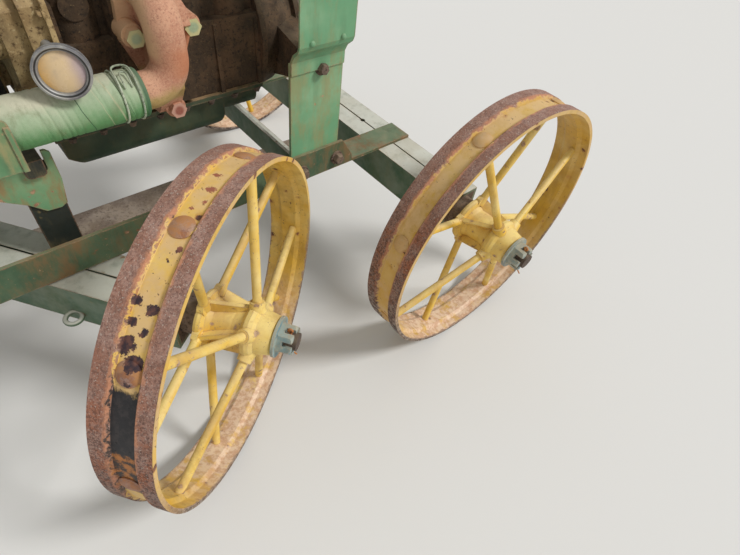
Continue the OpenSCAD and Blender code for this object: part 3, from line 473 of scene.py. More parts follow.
def rim_finish(wheel):
    """Yellow paint with rusty running bands, chipped groove and dusty inside."""
    s = new_material("rim_" + wheel.name)
    rim = RimPlace(s, wheel)
    place = rim.place
    colour, gone = groove_paint(s, rim, *RIM_TONES[wheel.name])
    colour = worn_patches(s, rim, WORN_PATCHES.get(wheel.name, ()), colour)
    rusty = s.use("rust", place, scale=36, **rust_tones("7b564a 97705f a98677 bda79b"))
    head = s.times(s.step(rim.radius, RIM_R - 6.4 * MM, RIM_R - 6 * MM),
                   s.step(rim.side, HALF_GROOVE - MM, HALF_GROOVE, 1, 0))
    head_colour = s.mix(s.step(s.noise(place, 55, 5, 0.7), 0.4, 0.6), rusty["Color"], "a96f45")
    colour = s.mix(s.times(head, HEAD_RUST.get(wheel.name, 0.3)), colour, head_colour)
    if wheel.name in LARGE_CHIPS:
        colour = large_chips(s, rim, wheel, LARGE_CHIPS[wheel.name], colour)
    dirt = s.times(s.step(rim.level, 0.24, 0.04), s.minus(1, rim.outside))
    dirt = s.times(dirt, s.step(s.noise(place, 26, 5, 0.7), 0.3, 0.5))
    dusty = s.mix(s.step(s.noise(place, 60, 4, 0.7), 0.4, 0.62), "e6cbb0", "caa184")
    colour = s.mix(s.times(dirt, 0.92), colour, dusty)

    band = s.times(s.step(rim.side, HALF_GROOVE, HALF_GROOVE + 3 * MM), rim.outside)
    yellow_face = s.times(s.step(rim.z, EDGE_FACE, EDGE_FACE + 0.5 * MM), s.slide(rim.low, 0.9, 0.1))
    band = s.times(band, s.slide(yellow_face, 1, 0))
    edge = s.step(rim.side, EDGE_FACE - 3.5 * MM, EDGE_FACE + 0.5 * MM)
    bare = s.math("MAXIMUM", band, s.times(edge, s.slide(rim.low, 0.06, 0.95)))
    band_colour, pits = band_rust(s, rim, rusty["Color"])
    colour = s.mix(bare, colour, s.mix(band, s.mix(0.6, band_colour, "cba688"), band_colour))
    all_bare = s.math("MAXIMUM", bare, gone)
    skin = s.times(s.minus(1, all_bare), 0.9)
    pitted = s.minus(s.times(rusty["Height"], s.slide(all_bare, 0.12, 1.3)),
                     s.times(s.times(pits, bare), 1.4))
    return dress(s, colour, s.slide(all_bare, 0.55, 0.86), s.plus(skin, pitted), 0.0013)


def hose_finish():
    """Faded green cloth-wrapped rubber: painted sunlight makes it cream on top and painted shade greener
    below, with thin dark creases and painted shade at its end in the elbow.
    """
    s = new_material("hose_cloth")
    place = s.place()
    x, _, z = s.split(place)
    along = s.plus(s.plus(x, s.times(z, 0.3)), s.times(s.noise(place, 16, 2), 0.010))
    bands = s.put("ShaderNodeTexNoise", {"W": s.times(along, 38), "Scale": 1, "Detail": 6,
                                         "Roughness": 0.75}, noise_dimensions="1D").outputs["Fac"]
    cloud = s.noise(place, 14, 6, 0.65)
    # Painted sunlight and shade: cream where the surface looks up, deeper green where it looks down, broken
    # up by clouds
    up = s.plus(s.upward(), s.times(s.minus(cloud, 0.5), 1.6))
    colour = s.mix(s.step(up, -0.5, 0.65), "629660", "a8b897")
    colour = s.mix(s.step(up, 0.45, 1.1), colour, "c8c5ab")
    colour = s.mix(s.step(bands, 0.6, 0.66, 0, 0.6), colour, "c9c3a0")
    colour = s.mix(s.step(bands, 0.37, 0.34, 0, 0.8), colour, "37593d")
    dirt = s.noise(s.vector("MULTIPLY", place, (1, 1, 0.4)), 32, 6, 0.7)
    colour = s.mix(s.step(dirt, 0.5, 0.68, 0, 0.4), colour, "71764f")
    # Painted shade: the hose darkens where it goes into the elbow
    end = s.minus(x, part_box("lower_hose")[1].x)
    colour = s.mix(s.step(end, -0.010, -0.006, 0, 0.8), colour, "2f5a3c")
    weave = s.times(s.math("SINE", s.times(along, 5200)), 0.2)
    height = s.plus(s.plus(s.step(bands, 0.34, 0.37), weave), s.noise(place, 300, 2))
    return dress(s, colour, 0.85, height, 0.0006)


# Bolts of the elbow: x and z in mm from the king pin's foot, colours of their ends' ring and middle
ELBOW_ENDS = [
    (411, 804, "c8c894", "9db593"), (515, 805, "c2c48e", "95b18e"), (460, 656, "bd9180", "8a4a3e")]
# Face of the elbow's lugs and radius of a bolt's end
LUG_FACE = -219.5 * MM
END_R = 17.5 * MM
# Inner and outer edge of the lamp shell's groove
LAMP_GROOVE = (34.5 * MM, 36.1 * MM)


def elbow_finish():
    """Sandy salmon rust with an orange bend, a mossy belly, a tan arm and coloured bolt ends."""
    s = new_material("elbow_rust")
    place = s.place()
    x, y, z = s.split(s.vector("SUBTRACT", place, at(0, 0, 0)))
    rusty = s.use("rust", place, scale=24, **rust_tones("a06d56 b67f65 c99779 dcb695"))
    sand = s.noise(place, 300, 3, 0.7)
    colour = s.mix(s.step(sand, 0.42, 0.6, 0, 0.45), rusty["Color"], "d3a789")
    wobble = s.times(s.minus(s.noise(place, 24, 5, 0.65), 0.5), 0.035)
    level = s.plus(z, wobble)
    tan = s.times(s.step(s.plus(x, wobble), 0.432, 0.418), s.step(z, 0.775, 0.795))
    colour = s.mix(s.times(tan, 0.75), colour, "d6b087")
    orange = s.times(s.step(level, 0.742, 0.758), s.step(level, 0.815, 0.785))
    orange = s.times(orange, s.step(s.plus(x, wobble), 0.412, 0.47))
    colour = s.mix(s.times(orange, 0.72), colour, "b5704a")
    mossy = s.times(s.step(level, 0.744, 0.722), s.step(level, 0.678, 0.694))
    colour = s.mix(s.times(mossy, 0.65), colour, "a89a54")
    for lug_x, lug_z, ring, core in ELBOW_ENDS:
        off = s.put("ShaderNodeCombineXYZ", {0: s.minus(x, lug_x * MM), 1: s.minus(z, lug_z * MM)})
        far_out = s.vector("LENGTH", off.outputs[0])
        end = s.times(s.step(y, LUG_FACE + 2.5 * MM, LUG_FACE + MM), s.step(y, LUG_FACE - MM, LUG_FACE))
        end = s.times(end, s.step(far_out, END_R + 1.5 * MM, END_R))
        face = s.mix(s.step(s.plus(far_out, s.times(wobble, 0.2)), 0.012, 0.006), ring, core)
        colour = s.mix(s.times(end, 0.85), colour, face)
    pores = s.step(s.cells(place, 150)["Distance"], 0, 0.22)
    height = s.plus(s.plus(s.noise(place, 30, 3), sand), s.times(pores, 0.35))
    return dress(s, colour, s.step(sand, 0.3, 0.7, 0.74, 0.92), height, 0.0011)


def lens_finish():
    """Clouded glass: amber to one side, cream in the middle and mauve to the other side."""
    s = new_material("lamp_glass_amber")
    place = s.place()
    own = s.vector("SUBTRACT", place, middle("lamp_lens"))
    cloud = s.noise(place, 34, 5, 0.65)
    across = s.plus(s.vector("DOT_PRODUCT", own, (0.76, -0.64, 0.11)), s.times(cloud, 0.012))
    colour = s.mix(s.step(across, -0.024, 0.004), "d9ab62", "d8bd93")
    colour = s.mix(s.step(across, 0.010, 0.034), colour, "ab989a")
    colour = s.mix(s.step(cloud, 0.5, 0.75, 0, 0.35), colour, "9a8578")
    return dress(s, colour, s.step(cloud, 0.3, 0.7, 0.16, 0.4), cloud, 0.0004)


def lamp_finish():
    """Oxidised grey metal with painted shade darkening the groove between the two rims."""
    s = new_material("lamp_shell_grey")
    place = s.place()
    own = s.vector("SUBTRACT", place, middle("lamp_lens"))
    cloud = s.noise(place, 35, 5, 0.65)
    colour = s.mix(s.step(cloud, 0.35, 0.65), "77767a", "a5a49f")
    worn = s.use("edge_wear", place, width=0.0015, amount=0.7)["Mask"]
    colour = s.mix(worn, colour, "c4c0b4")
    out = s.vector("LENGTH", own)
    first, last = LAMP_GROOVE
    groove = s.times(s.step(out, first - 0.7 * MM, first), s.step(out, last + 0.7 * MM, last))
    # Painted shade: the groove between the rims is darkened to near black
    colour = s.mix(s.times(groove, 0.9), colour, "1f201d")
    rusty = s.use("paint_chips", place, scale=60, amount=0.25)["Mask"]
    colour = s.mix(rusty, colour, "6a4c3a")
    rough = s.step(cloud, 0.3, 0.7, 0.38, 0.6)
    height = s.minus(cloud, s.times(groove, 3))
    return dress(s, colour, rough, height, 0.0005, metal=0.4)


def core_finish():
    """Dull black fins and tubes of the radiator core."""
    s = new_material("core_black")
    place = s.place()
    tubes = s.math("SINE", s.times(s.split(place)[1], 560))
    cloud = s.noise(place, 20, 5)
    colour = s.mix(s.step(cloud, 0.35, 0.7), "1d1e1d", "4a4438")
    return dress(s, colour, 0.75, s.plus(s.times(tubes, 0.6), cloud), 0.0012)


# Name of a finish, how it is made, the CAD nodes that wear it, its tones and other values
FINISHES = (
    ("rail_paint", painted, "rail_near rail_far", "34543a 7f8d6c 2b3826",
     dict(fade=0.35, top_fade=0.55, chips=0.4, stain="7a5c38", stained=0.9)),
    # The beams' near-white tops are painted sunlight and painted reflection of the sky
    ("beam_paint", painted, "front_axle_beam rear_axle_beam bolster rear_cross_bar",
     "35583b d3d3c6 66735c", dict(fade=0.2, top_fade=0.98, chips=0.2, edge=0.8, dust=0.15, stained=0.15)),
    ("bracket_paint", painted, "front_brackets", "5c9168 9aab80 646b47",
     dict(fade=0.6, top_fade=0.7, chips=0.44, stain="8f7c52", stained=0.95, run_scale=30)),
    ("panel_paint", painted, "rear_plates rear_panels cowl_top", "689d74 9abb93 567a56",
     dict(top_fade=0.4, dust=0.15, stain="978a5a", stained=0.6, run_scale=22)),
    # The pan's tan up-facing flange is partly rust and partly painted sunlight
    ("pan_paint", painted, "oil_pan", "263a29 56654a 1a241a",
     dict(fade=0.45, top_fade=0.5, chips=0.16, edge=0.7, dust=0.9, dust_and_light_colour="b8946c", stain="4d4a2c")),
    ("leg_paint", painted, "front_legs front_mount_bar", "232a25 3a3a30 1a1c1a",
     dict(top_fade=0.5, chips=0.12, edge=0.9)),
    ("tank_paint", painted, "fuel_tank radiator_tanks valve_cover fan", "57855c 96ad88 4a5d42",
     dict(stain="a39566", stained=0.7, run_scale=20)),
    ("hub_paint", painted, "front_near_hub front_far_hub rear_near_hub rear_far_hub",
     "e2b73a f2dd92 a98740",
     dict(fade=0.8, top_fade=0.75, chips=0.52, edge=0.8, dust=0.45, dust_and_light_colour="d6b888", rust=HUB_RUST,
     stain="b98a45", stained=0.45)),
    ("nut_paint", painted, "front_axle_nuts rear_axle_nuts", "6f9199 b9bba6 6f6a55",
     dict(fade=0.8, top_fade=0.5, chips=0.3, rust=PALE_WEAR, scale=30, stain="a58f70")),
    ("forged", cast, "king_pin front_spindles rear_spindles front_rub_plate power_takeoff magneto"
     " carburettor tongue_clevis", "2e2621 54453b 7a6656 8f8074", {}),
    ("flat_bar", cast, "reach_bar", "5b4e44 7d6d60 9c8d7f b3a79a", dict(depth=0.0006)),
    # The block, head and bell housing are a dark brown casting, darkened further with painted shade
    ("engine_casting", cast, "cylinder_block cylinder_head bell_housing", "241c15 40301f 5d4630 7a6648",
     dict(stain="2b2216")),
    ("tan_casting", cast, "gear_case", "5c472e 937850 bca273 d6c294", dict(scale=11, stain="4a3924")),
    ("exhaust_rust", cast, "manifold exhaust_stack", "3d2a22 6d4632 8d6247 9b8170", {}),
    ("pin_rust", cast, "", "7c4423 b87038 d0904c dcae6c", dict(depth=0.0003)),
    ("belt_rubber", cast, "fan_belt", "171615 262422 38342f 4d463c", dict(depth=0.0004)),
    ("clamp_steel", cast, "hose_clamps", "6d7663 9aa58f bcc5ae d3d8c4", dict(depth=0.0003)),
)


def wear(node, material):
    """Puts a material in every slot of a CAD node."""
    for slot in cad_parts[node].material_slots:
        slot.material = material


# Geometry node trees
KINDS = {float: "Float", int: "Int", tuple: "Vector"}


def node_tree(name, **takes):
    """Starts a geometry node tree with named inputs: its sheet and the inputs' sockets."""
    tree = bpy.data.node_groups.new(name, "GeometryNodeTree")
    tree.interface.new_socket("Geometry", in_out="INPUT", socket_type="NodeSocketGeometry")
    for key, default in takes.items():
        kind = "NodeSocket" + KINDS[type(default)]
        tree.interface.new_socket(titled(key), in_out="INPUT", socket_type=kind).default_value = default
    tree.interface.new_socket("Material", in_out="INPUT", socket_type="NodeSocketMaterial")
    tree.interface.new_socket("Geometry", in_out="OUTPUT", socket_type="NodeSocketGeometry")
    return Sheet(tree), tree.nodes.new("NodeGroupInput").outputs


def on_points(s, given, piece):
    """One copy of a piece on each point, turned to the point's facing and scaled by its size."""
    facing = s.put("GeometryNodeInputNamedAttribute", {"Name": "facing"}, data_type="FLOAT_VECTOR")
    size = s.put("GeometryNodeInputNamedAttribute", {"Name": "size"}, data_type="FLOAT")
    turn = s.put("FunctionNodeAlignRotationToVector", {"Vector": facing.outputs["Attribute"]}, axis="Z")
    chance = s.put("FunctionNodeRandomValue", {"Seed": given["Seed"]}, data_type="FLOAT")
    amount = next(o for o in chance.outputs if o.type == "VALUE" and o.enabled)
    roll = s.put("FunctionNodeAxisAngleToRotation", {"Axis": UP, "Angle": amount})
    both = s.put("FunctionNodeRotateRotation", {"Rotation": turn.outputs[0], "Rotate By": roll.outputs[0]},
                 rotation_space="LOCAL")
    return s.put("GeometryNodeInstanceOnPoints", {
        "Points": given["Geometry"], "Instance": piece, "Rotation": both.outputs[0],
        "Scale": size.outputs["Attribute"]}).outputs[0]


def close_tree(s, given, geometry):
    """Realizes the instances, sets the material and ends the tree."""
    real = s.put("GeometryNodeRealizeInstances", {0: geometry}).outputs[0]
    done = s.put("GeometryNodeSetMaterial", {"Geometry": real, "Material": given["Material"]}).outputs[0]
    s.put("NodeGroupOutput", {"Geometry": done})
    return s.tree


def bolt_tree():
    """Hexagon bolt head with a chamfered top on a washer, for a point that lies on the surface."""
    s, given = node_tree("Hexagon Bolts", head_width=1.0, head_height=0.6, washer_width=1.6,
                         washer_height=0.16, seed=3)
    half = s.times(given["Head Width"], 0.577)
    tall = given["Head Height"]
    washer = s.put("GeometryNodeMeshCylinder", {
        "Vertices": 20, "Radius": s.times(given["Washer Width"], 0.5),
        "Depth": s.times(given["Washer Height"], 2.0)}).outputs["Mesh"]
    joined = s.put("GeometryNodeJoinGeometry", {0: washer})
    for narrow, depth, lift in ((1.0, 0.8, 0.0), (0.86, 0.2, 0.8)):
        cone = s.put("GeometryNodeMeshCone", {
            "Vertices": 6, "Radius Top": s.times(half, narrow), "Radius Bottom": half,
            "Depth": s.times(tall, depth)}).outputs["Mesh"]
        raised = s.put("ShaderNodeCombineXYZ", {
            2: s.math("MULTIPLY_ADD", tall, lift, given["Washer Height"])}).outputs[0]
        s.feed(joined.inputs[0], s.put("GeometryNodeTransform", {
            "Geometry": cone, "Translation": raised}).outputs[0])
    return close_tree(s, given, on_points(s, given, joined.outputs[0]))


def rivet_tree():
    """Low round rivet heads."""
    s, given = node_tree("Round Rivets", head_width=1.0, head_height=0.4, seed=5)
    ball = s.put("GeometryNodeMeshUVSphere", {"Segments": 14, "Rings": 8, "Radius": 0.5}).outputs["Mesh"]
    shape = s.put("ShaderNodeCombineXYZ", {
        0: given["Head Width"], 1: given["Head Width"],
        2: s.times(given["Head Height"], 2.0)}).outputs[0]
    flat = s.put("GeometryNodeTransform", {"Geometry": ball, "Scale": shape}).outputs[0]
    smooth = s.put("GeometryNodeSetShadeSmooth", {"Geometry": flat}).outputs[0]
    return close_tree(s, given, on_points(s, given, smooth))


def fin_tree():
    """Row of thin plates from each point along a step."""
    s, given = node_tree("Cooling Fins", count=60, step=(0.0, 0.0, 0.006), plate=(0.004, 0.5, 0.0008))
    line = s.put("GeometryNodeMeshLine", {"Count": given["Count"], "Offset": given["Step"]}).outputs[0]
    plate = s.put("GeometryNodeMeshCube", {"Size": given["Plate"]}).outputs["Mesh"]
    row = s.put("GeometryNodeInstanceOnPoints", {"Points": line, "Instance": plate}).outputs[0]
    placed = s.put("GeometryNodeInstanceOnPoints", {
        "Points": given["Geometry"], "Instance": row}).outputs[0]
    return close_tree(s, given, placed)


def keep(name, mesh, body="root"):
    """Puts a mesh into the scene as a piece on a body."""
    made = bpy.data.objects.new(name, mesh)
    bpy.context.scene.collection.objects.link(made)
    if not mesh.polygons:
        raise RuntimeError(name + " came out empty")
    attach(made, body)
    return made


def grow(name, points, tree, finish, **values):
    """Runs a tree on points (place, facing, size) and keeps the result as a plain mesh."""
    mesh = bpy.data.meshes.new(name)
    mesh.from_pydata([p[0] for p in points], [], [])
    facing = mesh.attributes.new("facing", "FLOAT_VECTOR", "POINT")
    facing.data.foreach_set("vector", [v for p in points for v in p[1]])
    size = mesh.attributes.new("size", "FLOAT", "POINT")
    size.data.foreach_set("value", [p[2] for p in points])
    carrier = bpy.data.objects.new(name + "_points", mesh)
    bpy.context.scene.collection.objects.link(carrier)
    modifier = carrier.modifiers.new("Tree", "NODES")
    modifier.node_group = tree
    sockets = {i.name: i.identifier for i in tree.interface.items_tree if i.in_out == "INPUT"}
    for key, value in values.items():
        modifier[sockets[titled(key)]] = value
    modifier[sockets["Material"]] = bpy.data.materials[finish]
    seen = carrier.evaluated_get(bpy.context.evaluated_depsgraph_get())
    grown = bpy.data.meshes.new_from_object(seen)
    carrier.modifiers.remove(modifier)
    bpy.data.objects.remove(carrier)
    return keep(name, grown)


def keep_mesh(name, bm, finish, body="root"):
    """Turns a bmesh into a smooth piece on a body."""
    bmesh.ops.recalc_face_normals(bm, faces=bm.faces)
    mesh = bpy.data.meshes.new(name)
    bm.to_mesh(mesh)
    bm.free()
    mesh.shade_smooth()
    mesh.materials.append(bpy.data.materials[finish])
    return keep(name, mesh, body)


def tube(bm, path, radius, sides=10, closed=False):
    """Sweeps a round wire along points."""
    rings = []
    count = len(path)
    side = None
    for i, p in enumerate(path):
        before = path[i - 1] if (i or closed) else p
        after = path[(i + 1) % count] if (i < count - 1 or closed) else p
        along = (after - before).normalized()
        if side is None:
            side = along.orthogonal().normalized()
        side = (side - along * side.dot(along)).normalized()
        up = along.cross(side)
        ring = [bm.verts.new(p + (side * math.cos(a) + up * math.sin(a)) * radius)
                for a in (2 * math.pi * k / sides for k in range(sides))]
        rings.append(ring)
    pairs = list(zip(rings, rings[1:])) + ([(rings[-1], rings[0])] if closed else [])
    for a, b in pairs:
        for k in range(sides):
            bm.faces.new((a[k], a[(k + 1) % sides], b[(k + 1) % sides], b[k]))
    if not closed:
        bm.faces.new(rings[0])
        bm.faces.new(rings[-1])


# Fastenings: place in mm from the king pin, direction of the head, head width in mm
def on_both_sides(rows):
    """Near-side rows and their mirror images."""
    return [row for x, y, z, face, width in rows
            for row in ((x, y, z, face, width), (x, -y, z, (face[0], -face[1], face[2]), width))]


FRAME_BOLTS = on_both_sides([
    (830, -270, 440, NEAR, 25), (720, -270, 435, NEAR, 25), (775, -262, 691, NEAR, 22),
    (-30, -240, 423, UP, 20), (30, -240, 423, UP, 20),
    (40, -206, 655, NEAR, 16), (110, -206, 640, NEAR, 16),
])
FRAME_RIVETS = on_both_sides([(725, -295, 765, NEAR, 14), (805, -295, 765, NEAR, 14)])
HEAD_BOLTS = [(322 + 86 * k, y, 1010, UP, 17) for k in range(5) for y in (-103, 103)]
CASE_BOLTS = on_both_sides(
    [(228, -y, z, AHEAD, 13) for y, z in ((150, 803), (150, 840), (127, 664), (127, 716), (78, 914))]
    + [(292, -181, z, AHEAD, 11) for z in (790, 850)])
PAN_BOLTS = [(270 + 58 * k, y, 618, DOWN, 12) for k in range(8) for y in (-150, 150)]


def bolt_ring(x, z, radius, width, angles):
    """Bolts in a ring round the crankshaft, with their heads to the back."""
    turns = map(math.radians, angles)
    return [(x, radius * math.cos(a), z + radius * math.sin(a), BACK, width) for a in turns]


BELL_BOLTS = bolt_ring(702, 710, 158, 12, (45, 75, 105, 135, 225, 255, 285, 315))
BELL_BOLTS += bolt_ring(820, 710, 104, 14, range(0, 360, 45))


def bolt_points(rows):
    return [(at(x, y, z), face, width * MM) for x, y, z, face, width in rows]


# Settings
class FarmEngineFastenings(bpy.types.PropertyGroup):
    """Sizes of bolts, pins and clamps."""

    head_height: FloatProperty(
        name="Head Height", description="Height of a bolt head over its width", default=0.6, min=0.3,
        max=1.0)
    washer_width: FloatProperty(
        name="Washer Width", description="Width of a washer over the head's width", default=1.5, min=1.1,
        max=2.5)
    pin_width: FloatProperty(
        name="Cotter Pin", description="Diameter of a cotter pin's wire", default=0.0032, min=0.001,
        max=0.006, unit="LENGTH")
    wire_width: FloatProperty(
        name="Clamp Wire", description="Diameter of the hose clamps' wire", default=0.0036, min=0.001,
        max=0.006, unit="LENGTH")
    seed: IntProperty(
        name="Seed", description="Seed of the bolts' chance turns", default=3, min=0)


class FarmEngineCooling(bpy.types.PropertyGroup):
    """Sizes of the hose and the radiator's fins."""

    fin_step: FloatProperty(
        name="Fin Step", description="Distance between two fins", default=0.0062, min=0.002, max=0.02,
        unit="LENGTH")
    fin_proud: FloatProperty(
        name="Fin Height", description="How far the fins stand proud of the core", default=0.002,
        min=0.0005, max=0.01, unit="LENGTH")
    wrap_height: FloatProperty(
        name="Wrap Height", description="Height of the hose's wrapping", default=0.0009, min=0.0,
        max=0.003, unit="LENGTH")


class FarmEngineStage(bpy.types.PropertyGroup):
    """Floor and light."""

    floor: FloatVectorProperty(
        name="Floor", description="Colour of the floor", subtype="COLOR", size=3,
        default=(0.74, 0.73, 0.70), min=0.0, max=1.0)
    sun: FloatProperty(
        name="Sun", description="Strength of the soft sun lamp", default=2.1, min=0.0, max=6.0)
    sky: FloatProperty(
        name="Sky", description="Strength of the even light", default=0.55, min=0.0, max=2.0)


class OBJECT_OT_farm_finishes(bpy.types.Operator):
    """Make every finish and put it on the CAD nodes"""

    bl_idname = "object.farm_finishes"
    bl_label = "Finishes"

    def execute(self, context):
        for name, maker, nodes, tones, values in FINISHES:
            material = maker(name, tones, **values)
            for node in nodes.split():
                wear(node, material)
        for wheel in WHEELS:
            wear(wheel.name + "_rim", rim_finish(wheel))
        for node in ("lower_hose", "upper_hose"):
            wear(node, bpy.data.materials.get("hose_cloth") or hose_finish())
        wear("water_elbow", elbow_finish())
        wear("lamp_shell", lamp_finish())
        wear("lamp_lens", lens_finish())
        wear("radiator_core", core_finish())
        return {"FINISHED"}


class OBJECT_OT_farm_bolts(bpy.types.Operator):
    """Add the bolts and rivets"""

    bl_idname = "object.farm_bolts"
    bl_label = "Bolts and rivets"

    def execute(self, context):
        given = context.scene.farm_fastenings
        bolts, rivets = bolt_tree(), rivet_tree()
        for name, rows, finish in (
                ("frame_bolts", FRAME_BOLTS, "forged"), ("head_bolts", HEAD_BOLTS, "engine_casting"),
                ("case_bolts", CASE_BOLTS, "tan_casting"), ("pan_bolts", PAN_BOLTS, "forged"),
                ("bell_bolts", BELL_BOLTS, "forged")):
            grow(name, bolt_points(rows), bolts, finish, head_height=given.head_height,
                 washer_width=given.washer_width, seed=given.seed)
        grow("panel_rivets", bolt_points(FRAME_RIVETS), rivets, "panel_paint", seed=given.seed)
        return {"FINISHED"}


class OBJECT_OT_farm_cotter_pins(bpy.types.Operator):
    """Add a bent cotter pin in each axle nut"""

    bl_idname = "object.farm_cotter_pins"
    bl_label = "Cotter pins"

    def execute(self, context):
        radius = context.scene.farm_fastenings.pin_width / 2
        for pair, body in (("front", "front_axle"), ("rear", "root")):
            bm = bmesh.new()
            for wheel in (w for w in WHEELS if w.name.startswith(pair)):
                across, up, out = wheel.turn.col
                seat = wheel.centre + out * PIN_SEAT
                top = seat + up * PIN_EYE_UP
                eye = [top + (up * math.cos(a) + out * math.sin(a)) * PIN_EYE_R
                       for a in map(math.radians, range(200, 521, 32))]
                for sign, bend in ((1, out), (-1, across)):
                    beside = seat + out * sign * radius
                    legs = [beside + up * height * MM for height in PIN_LEGS]
                    legs += [beside - up * (32 + 5 * k) * MM + bend * k * k * 1.3 * MM for k in (1, 2, 3)]
                    tube(bm, legs, radius, 8)
                tube(bm, eye, radius * 1.4, 8)
            keep_mesh(pair + "_cotter_pins", bm, "pin_rust", body)
        return {"FINISHED"}


# Clamps round the hose, in mm from the king pin: the one at the radiator, then the two rings at the elbow
CLAMPS_X = (88, 347, 375)
HOSE_WALL = 8.5 * MM
HOSE_SIDES = 72
RING_STEP = 1.6 * MM
CREASES = 13


def spring_clamp(bm, centre, radius, wire, first, last):
    """Two wire rings joined over the top by a raised hairpin, with a smaller one inside it."""
    def on(x, degrees, rise):
        a = math.radians(degrees)
        r = radius + rise
        return Vector((x, centre.y + r * math.cos(a), centre.z + r * math.sin(a)))

    for x in (first, last):
        tube(bm, [on(x, 6 * k, 0.6 * wire) for k in range(60)], wire, 10, closed=True)
    between, half = (first + last) / 2, (last - first) / 2
    for share, foot, crown, rise in ((1.0, 148, 102, 9 * MM), (0.42, 138, 112, 7 * MM)):
        reach = half * share
        arm = [(foot + (crown - foot) * k / 5, wire + (rise - wire) * math.sin(math.pi * k / 10))
               for k in range(6)]
        bend = math.degrees(reach / radius)
        turn = [(between - reach * math.cos(a), crown - bend * math.sin(a), rise)
                for a in (math.pi * k / 8 for k in range(1, 8))]
        path = [on(between - reach, *step) for step in arm] + [on(*step) for step in turn]
        path += [on(between + reach, *step) for step in reversed(arm)]
        tube(bm, path, wire * (0.9 if share == 1.0 else 0.75), 10)


class OBJECT_OT_farm_hose(bpy.types.Operator):
    """Replace the plain hose and clamps by a wrapped hose and wire clamps"""

    bl_idname = "object.farm_hose"
    bl_label = "Hose and clamps"

    def execute(self, context):
        wrap = context.scene.farm_cooling.wrap_height
        wire = context.scene.farm_fastenings.wire_width / 2
        low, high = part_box("lower_hose")
        radius, centre = (high.z - low.z) / 2, (low + high) / 2
        clamps = [at(x, 0, 0).x for x in CLAMPS_X]
        rng = random.Random(11)
        creases = sorted(low.x + (high.x - low.x) * rng.uniform(0.03, 0.97) for _ in range(CREASES))

        def reach(x, a):
            """Radius of the wrapped outside, with its creases, clamped waists and round ends"""
            leaning = x + 7 * MM * math.sin(a)
            r = radius + 0.12 * wrap * math.sin(leaning / (9 * MM) * 2 * math.pi)
            r -= sum(1.1 * wrap * math.exp(-((leaning - c) / (1.3 * MM)) ** 2) for c in creases)
            r -= sum(2.0 * MM * math.exp(-((x - c) / (4 * MM)) ** 2) for c in clamps)
            ends = min(x - low.x, high.x - x)
            return r - 2.2 * MM * max(0.0, 1 - ends / (3 * MM)) ** 2

        count = int((high.x - low.x) / RING_STEP)
        outside = [low.x + (high.x - low.x) * i / count for i in range(count + 1)]
        places = [(low.x + 4 * MM, False), (low.x, False)] + [(x, True) for x in outside]
        places += [(high.x, False), (high.x - 4 * MM, False)]
        bm = bmesh.new()
        rings = []
        for x, wrapped in places:
            ring = []
            for a in (2 * math.pi * k / HOSE_SIDES for k in range(HOSE_SIDES)):
                r = reach(x, a) if wrapped else radius - HOSE_WALL
                ring.append(bm.verts.new((x, centre.y + r * math.cos(a), centre.z + r * math.sin(a))))
            rings.append(ring)
        for a, b in zip(rings, rings[1:] + rings[:1]):
            for k in range(HOSE_SIDES):
                n = (k + 1) % HOSE_SIDES
                bm.faces.new((a[k], a[n], b[n], b[k]))
        hose = keep_mesh("water_hose", bm, "hose_cloth")
        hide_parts("lower_hose")

        bm = bmesh.new()
        far_end, first, last = clamps
        spring_clamp(bm, centre, radius, wire, far_end - 8 * MM, far_end + 8 * MM)
        spring_clamp(bm, centre, radius, wire, first, last)
        made = keep_mesh("wire_clamps", bm, "clamp_steel")
        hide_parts("hose_clamps")
        return {"FINISHED"}


FIN_THICK = 0.7 * MM


class OBJECT_OT_farm_fins(bpy.types.Operator):
    """Add the fins on both faces of the radiator core"""

    bl_idname = "object.farm_fins"
    bl_label = "Radiator fins"

    def execute(self, context):
        given = context.scene.farm_cooling
        low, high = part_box("radiator_core")
        centre, size = (low + high) / 2, high - low
        count = int(size.z / given.fin_step) - 1
        first = low.z + (size.z - (count - 1) * given.fin_step) / 2
        rows = [(Vector((x, centre.y, first)), UP, 1.0) for x in (low.x, high.x)]
        grow("core_fins", rows, fin_tree(), "core_black", count=count, step=(0.0, 0.0, given.fin_step),
             plate=(2 * given.fin_proud, size.y - 4 * MM, FIN_THICK))
        return {"FINISHED"}


# Camera: place in mm from the king pin, axes, lens and sensor in mm
CAMERA_PLACE = (126.2, -1096.2, 1206.1)
CAMERA_RIGHT = (0.7545, -0.6465, 0.1127)
CAMERA_UP = (0.4344, 0.6207, 0.6527)
CAMERA_LENS = 23.71
SENSOR_WIDTH = 36.0
# Sun: direction it comes from, and its width in degrees
SUN_FROM = (0.55, -0.62, 0.80)
SUN_WIDTH = 14
FLOOR_SIZE = 60
FLOOR_Z = -MM


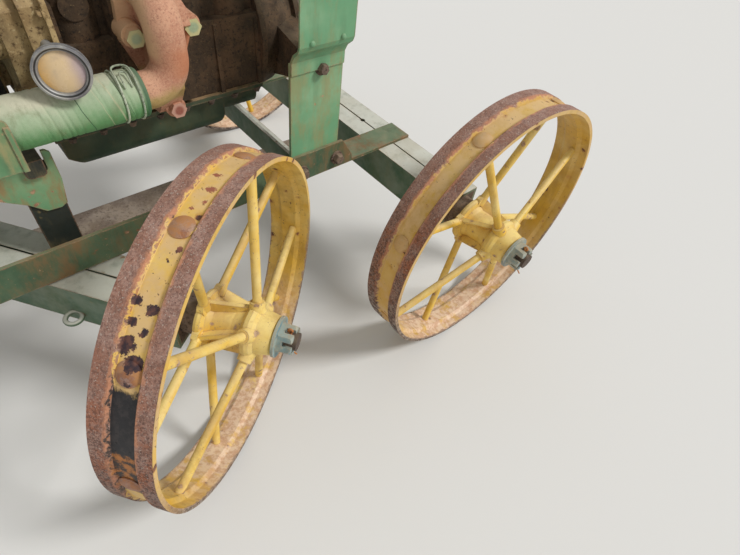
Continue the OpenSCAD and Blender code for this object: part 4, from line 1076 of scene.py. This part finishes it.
class OBJECT_OT_farm_stage(bpy.types.Operator):
    """Add the floor, the light and the camera"""

    bl_idname = "object.farm_stage"
    bl_label = "Floor, light and camera"

    def execute(self, context):
        given = context.scene.farm_stage
        scene = context.scene
        bpy.ops.mesh.primitive_plane_add(size=FLOOR_SIZE, location=(0, 0, FLOOR_Z))
        floor = context.object
        floor.name = "floor"
        s = new_material("floor_plain")
        s.feed(s.shader.inputs["Base Color"], tuple(given.floor))
        s.feed(s.shader.inputs["Roughness"], 0.95)
        s.feed(s.shader.inputs["Specular IOR Level"], 0.1)
        floor.data.materials.append(s.material)
        lamp = bpy.data.lights.new("soft_sun", "SUN")
        lamp.energy = given.sun
        lamp.angle = math.radians(SUN_WIDTH)
        sun = bpy.data.objects.new("soft_sun", lamp)
        sun.rotation_mode = "QUATERNION"
        sun.rotation_quaternion = Vector(SUN_FROM).to_track_quat("Z", "Y")
        scene.collection.objects.link(sun)
        world = bpy.data.worlds.new("even_sky")
        scene.world = world
        world.use_nodes = True
        sky = world.node_tree.nodes["Background"].inputs
        sky["Color"].default_value = WHITE
        sky["Strength"].default_value = given.sky
        lens = bpy.data.cameras.new("photo_camera")
        lens.lens = CAMERA_LENS
        lens.sensor_width = SENSOR_WIDTH
        camera = bpy.data.objects.new("photo_camera", lens)
        right, up = Vector(CAMERA_RIGHT).normalized(), Vector(CAMERA_UP).normalized()
        turn = Matrix((right, up, right.cross(up))).transposed().to_4x4()
        camera.matrix_world = Matrix.Translation(at(*CAMERA_PLACE)) @ turn
        scene.collection.objects.link(camera)
        scene.camera = camera
        scene.view_settings.view_transform = "Standard"
        return {"FINISHED"}


STEPS = ("farm_finishes", "farm_bolts", "farm_cotter_pins", "farm_hose", "farm_fins", "farm_stage")


class VIEW3D_PT_farm_engine(bpy.types.Panel):
    """Lists what can be made and its sizes"""

    bl_idname = "VIEW3D_PT_farm_engine"
    bl_label = "Farm engine truck"
    bl_space_type = "VIEW_3D"
    bl_region_type = "UI"
    bl_category = "Farm Engine"

    def draw(self, context):
        for step in STEPS:
            self.layout.operator("object." + step)
        for group in (context.scene.farm_fastenings, context.scene.farm_cooling, context.scene.farm_stage):
            column = self.layout.column()
            for name in group.__annotations__:
                column.prop(group, name)


CLASSES = (
    FarmEngineFastenings, FarmEngineCooling, FarmEngineStage, OBJECT_OT_farm_finishes,
    OBJECT_OT_farm_bolts, OBJECT_OT_farm_cotter_pins, OBJECT_OT_farm_hose, OBJECT_OT_farm_fins,
    OBJECT_OT_farm_stage, VIEW3D_PT_farm_engine,
)


def register():
    for item in CLASSES:
        bpy.utils.register_class(item)
    bpy.types.Scene.farm_fastenings = PointerProperty(type=FarmEngineFastenings)
    bpy.types.Scene.farm_cooling = PointerProperty(type=FarmEngineCooling)
    bpy.types.Scene.farm_stage = PointerProperty(type=FarmEngineStage)


def unregister():
    del bpy.types.Scene.farm_stage
    del bpy.types.Scene.farm_cooling
    del bpy.types.Scene.farm_fastenings
    for item in reversed(CLASSES):
        bpy.utils.unregister_class(item)


def main():
    """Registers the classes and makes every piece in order."""
    register()
    for step in STEPS:
        getattr(bpy.ops.object, step)()


if __name__ == "__main__":
    main()
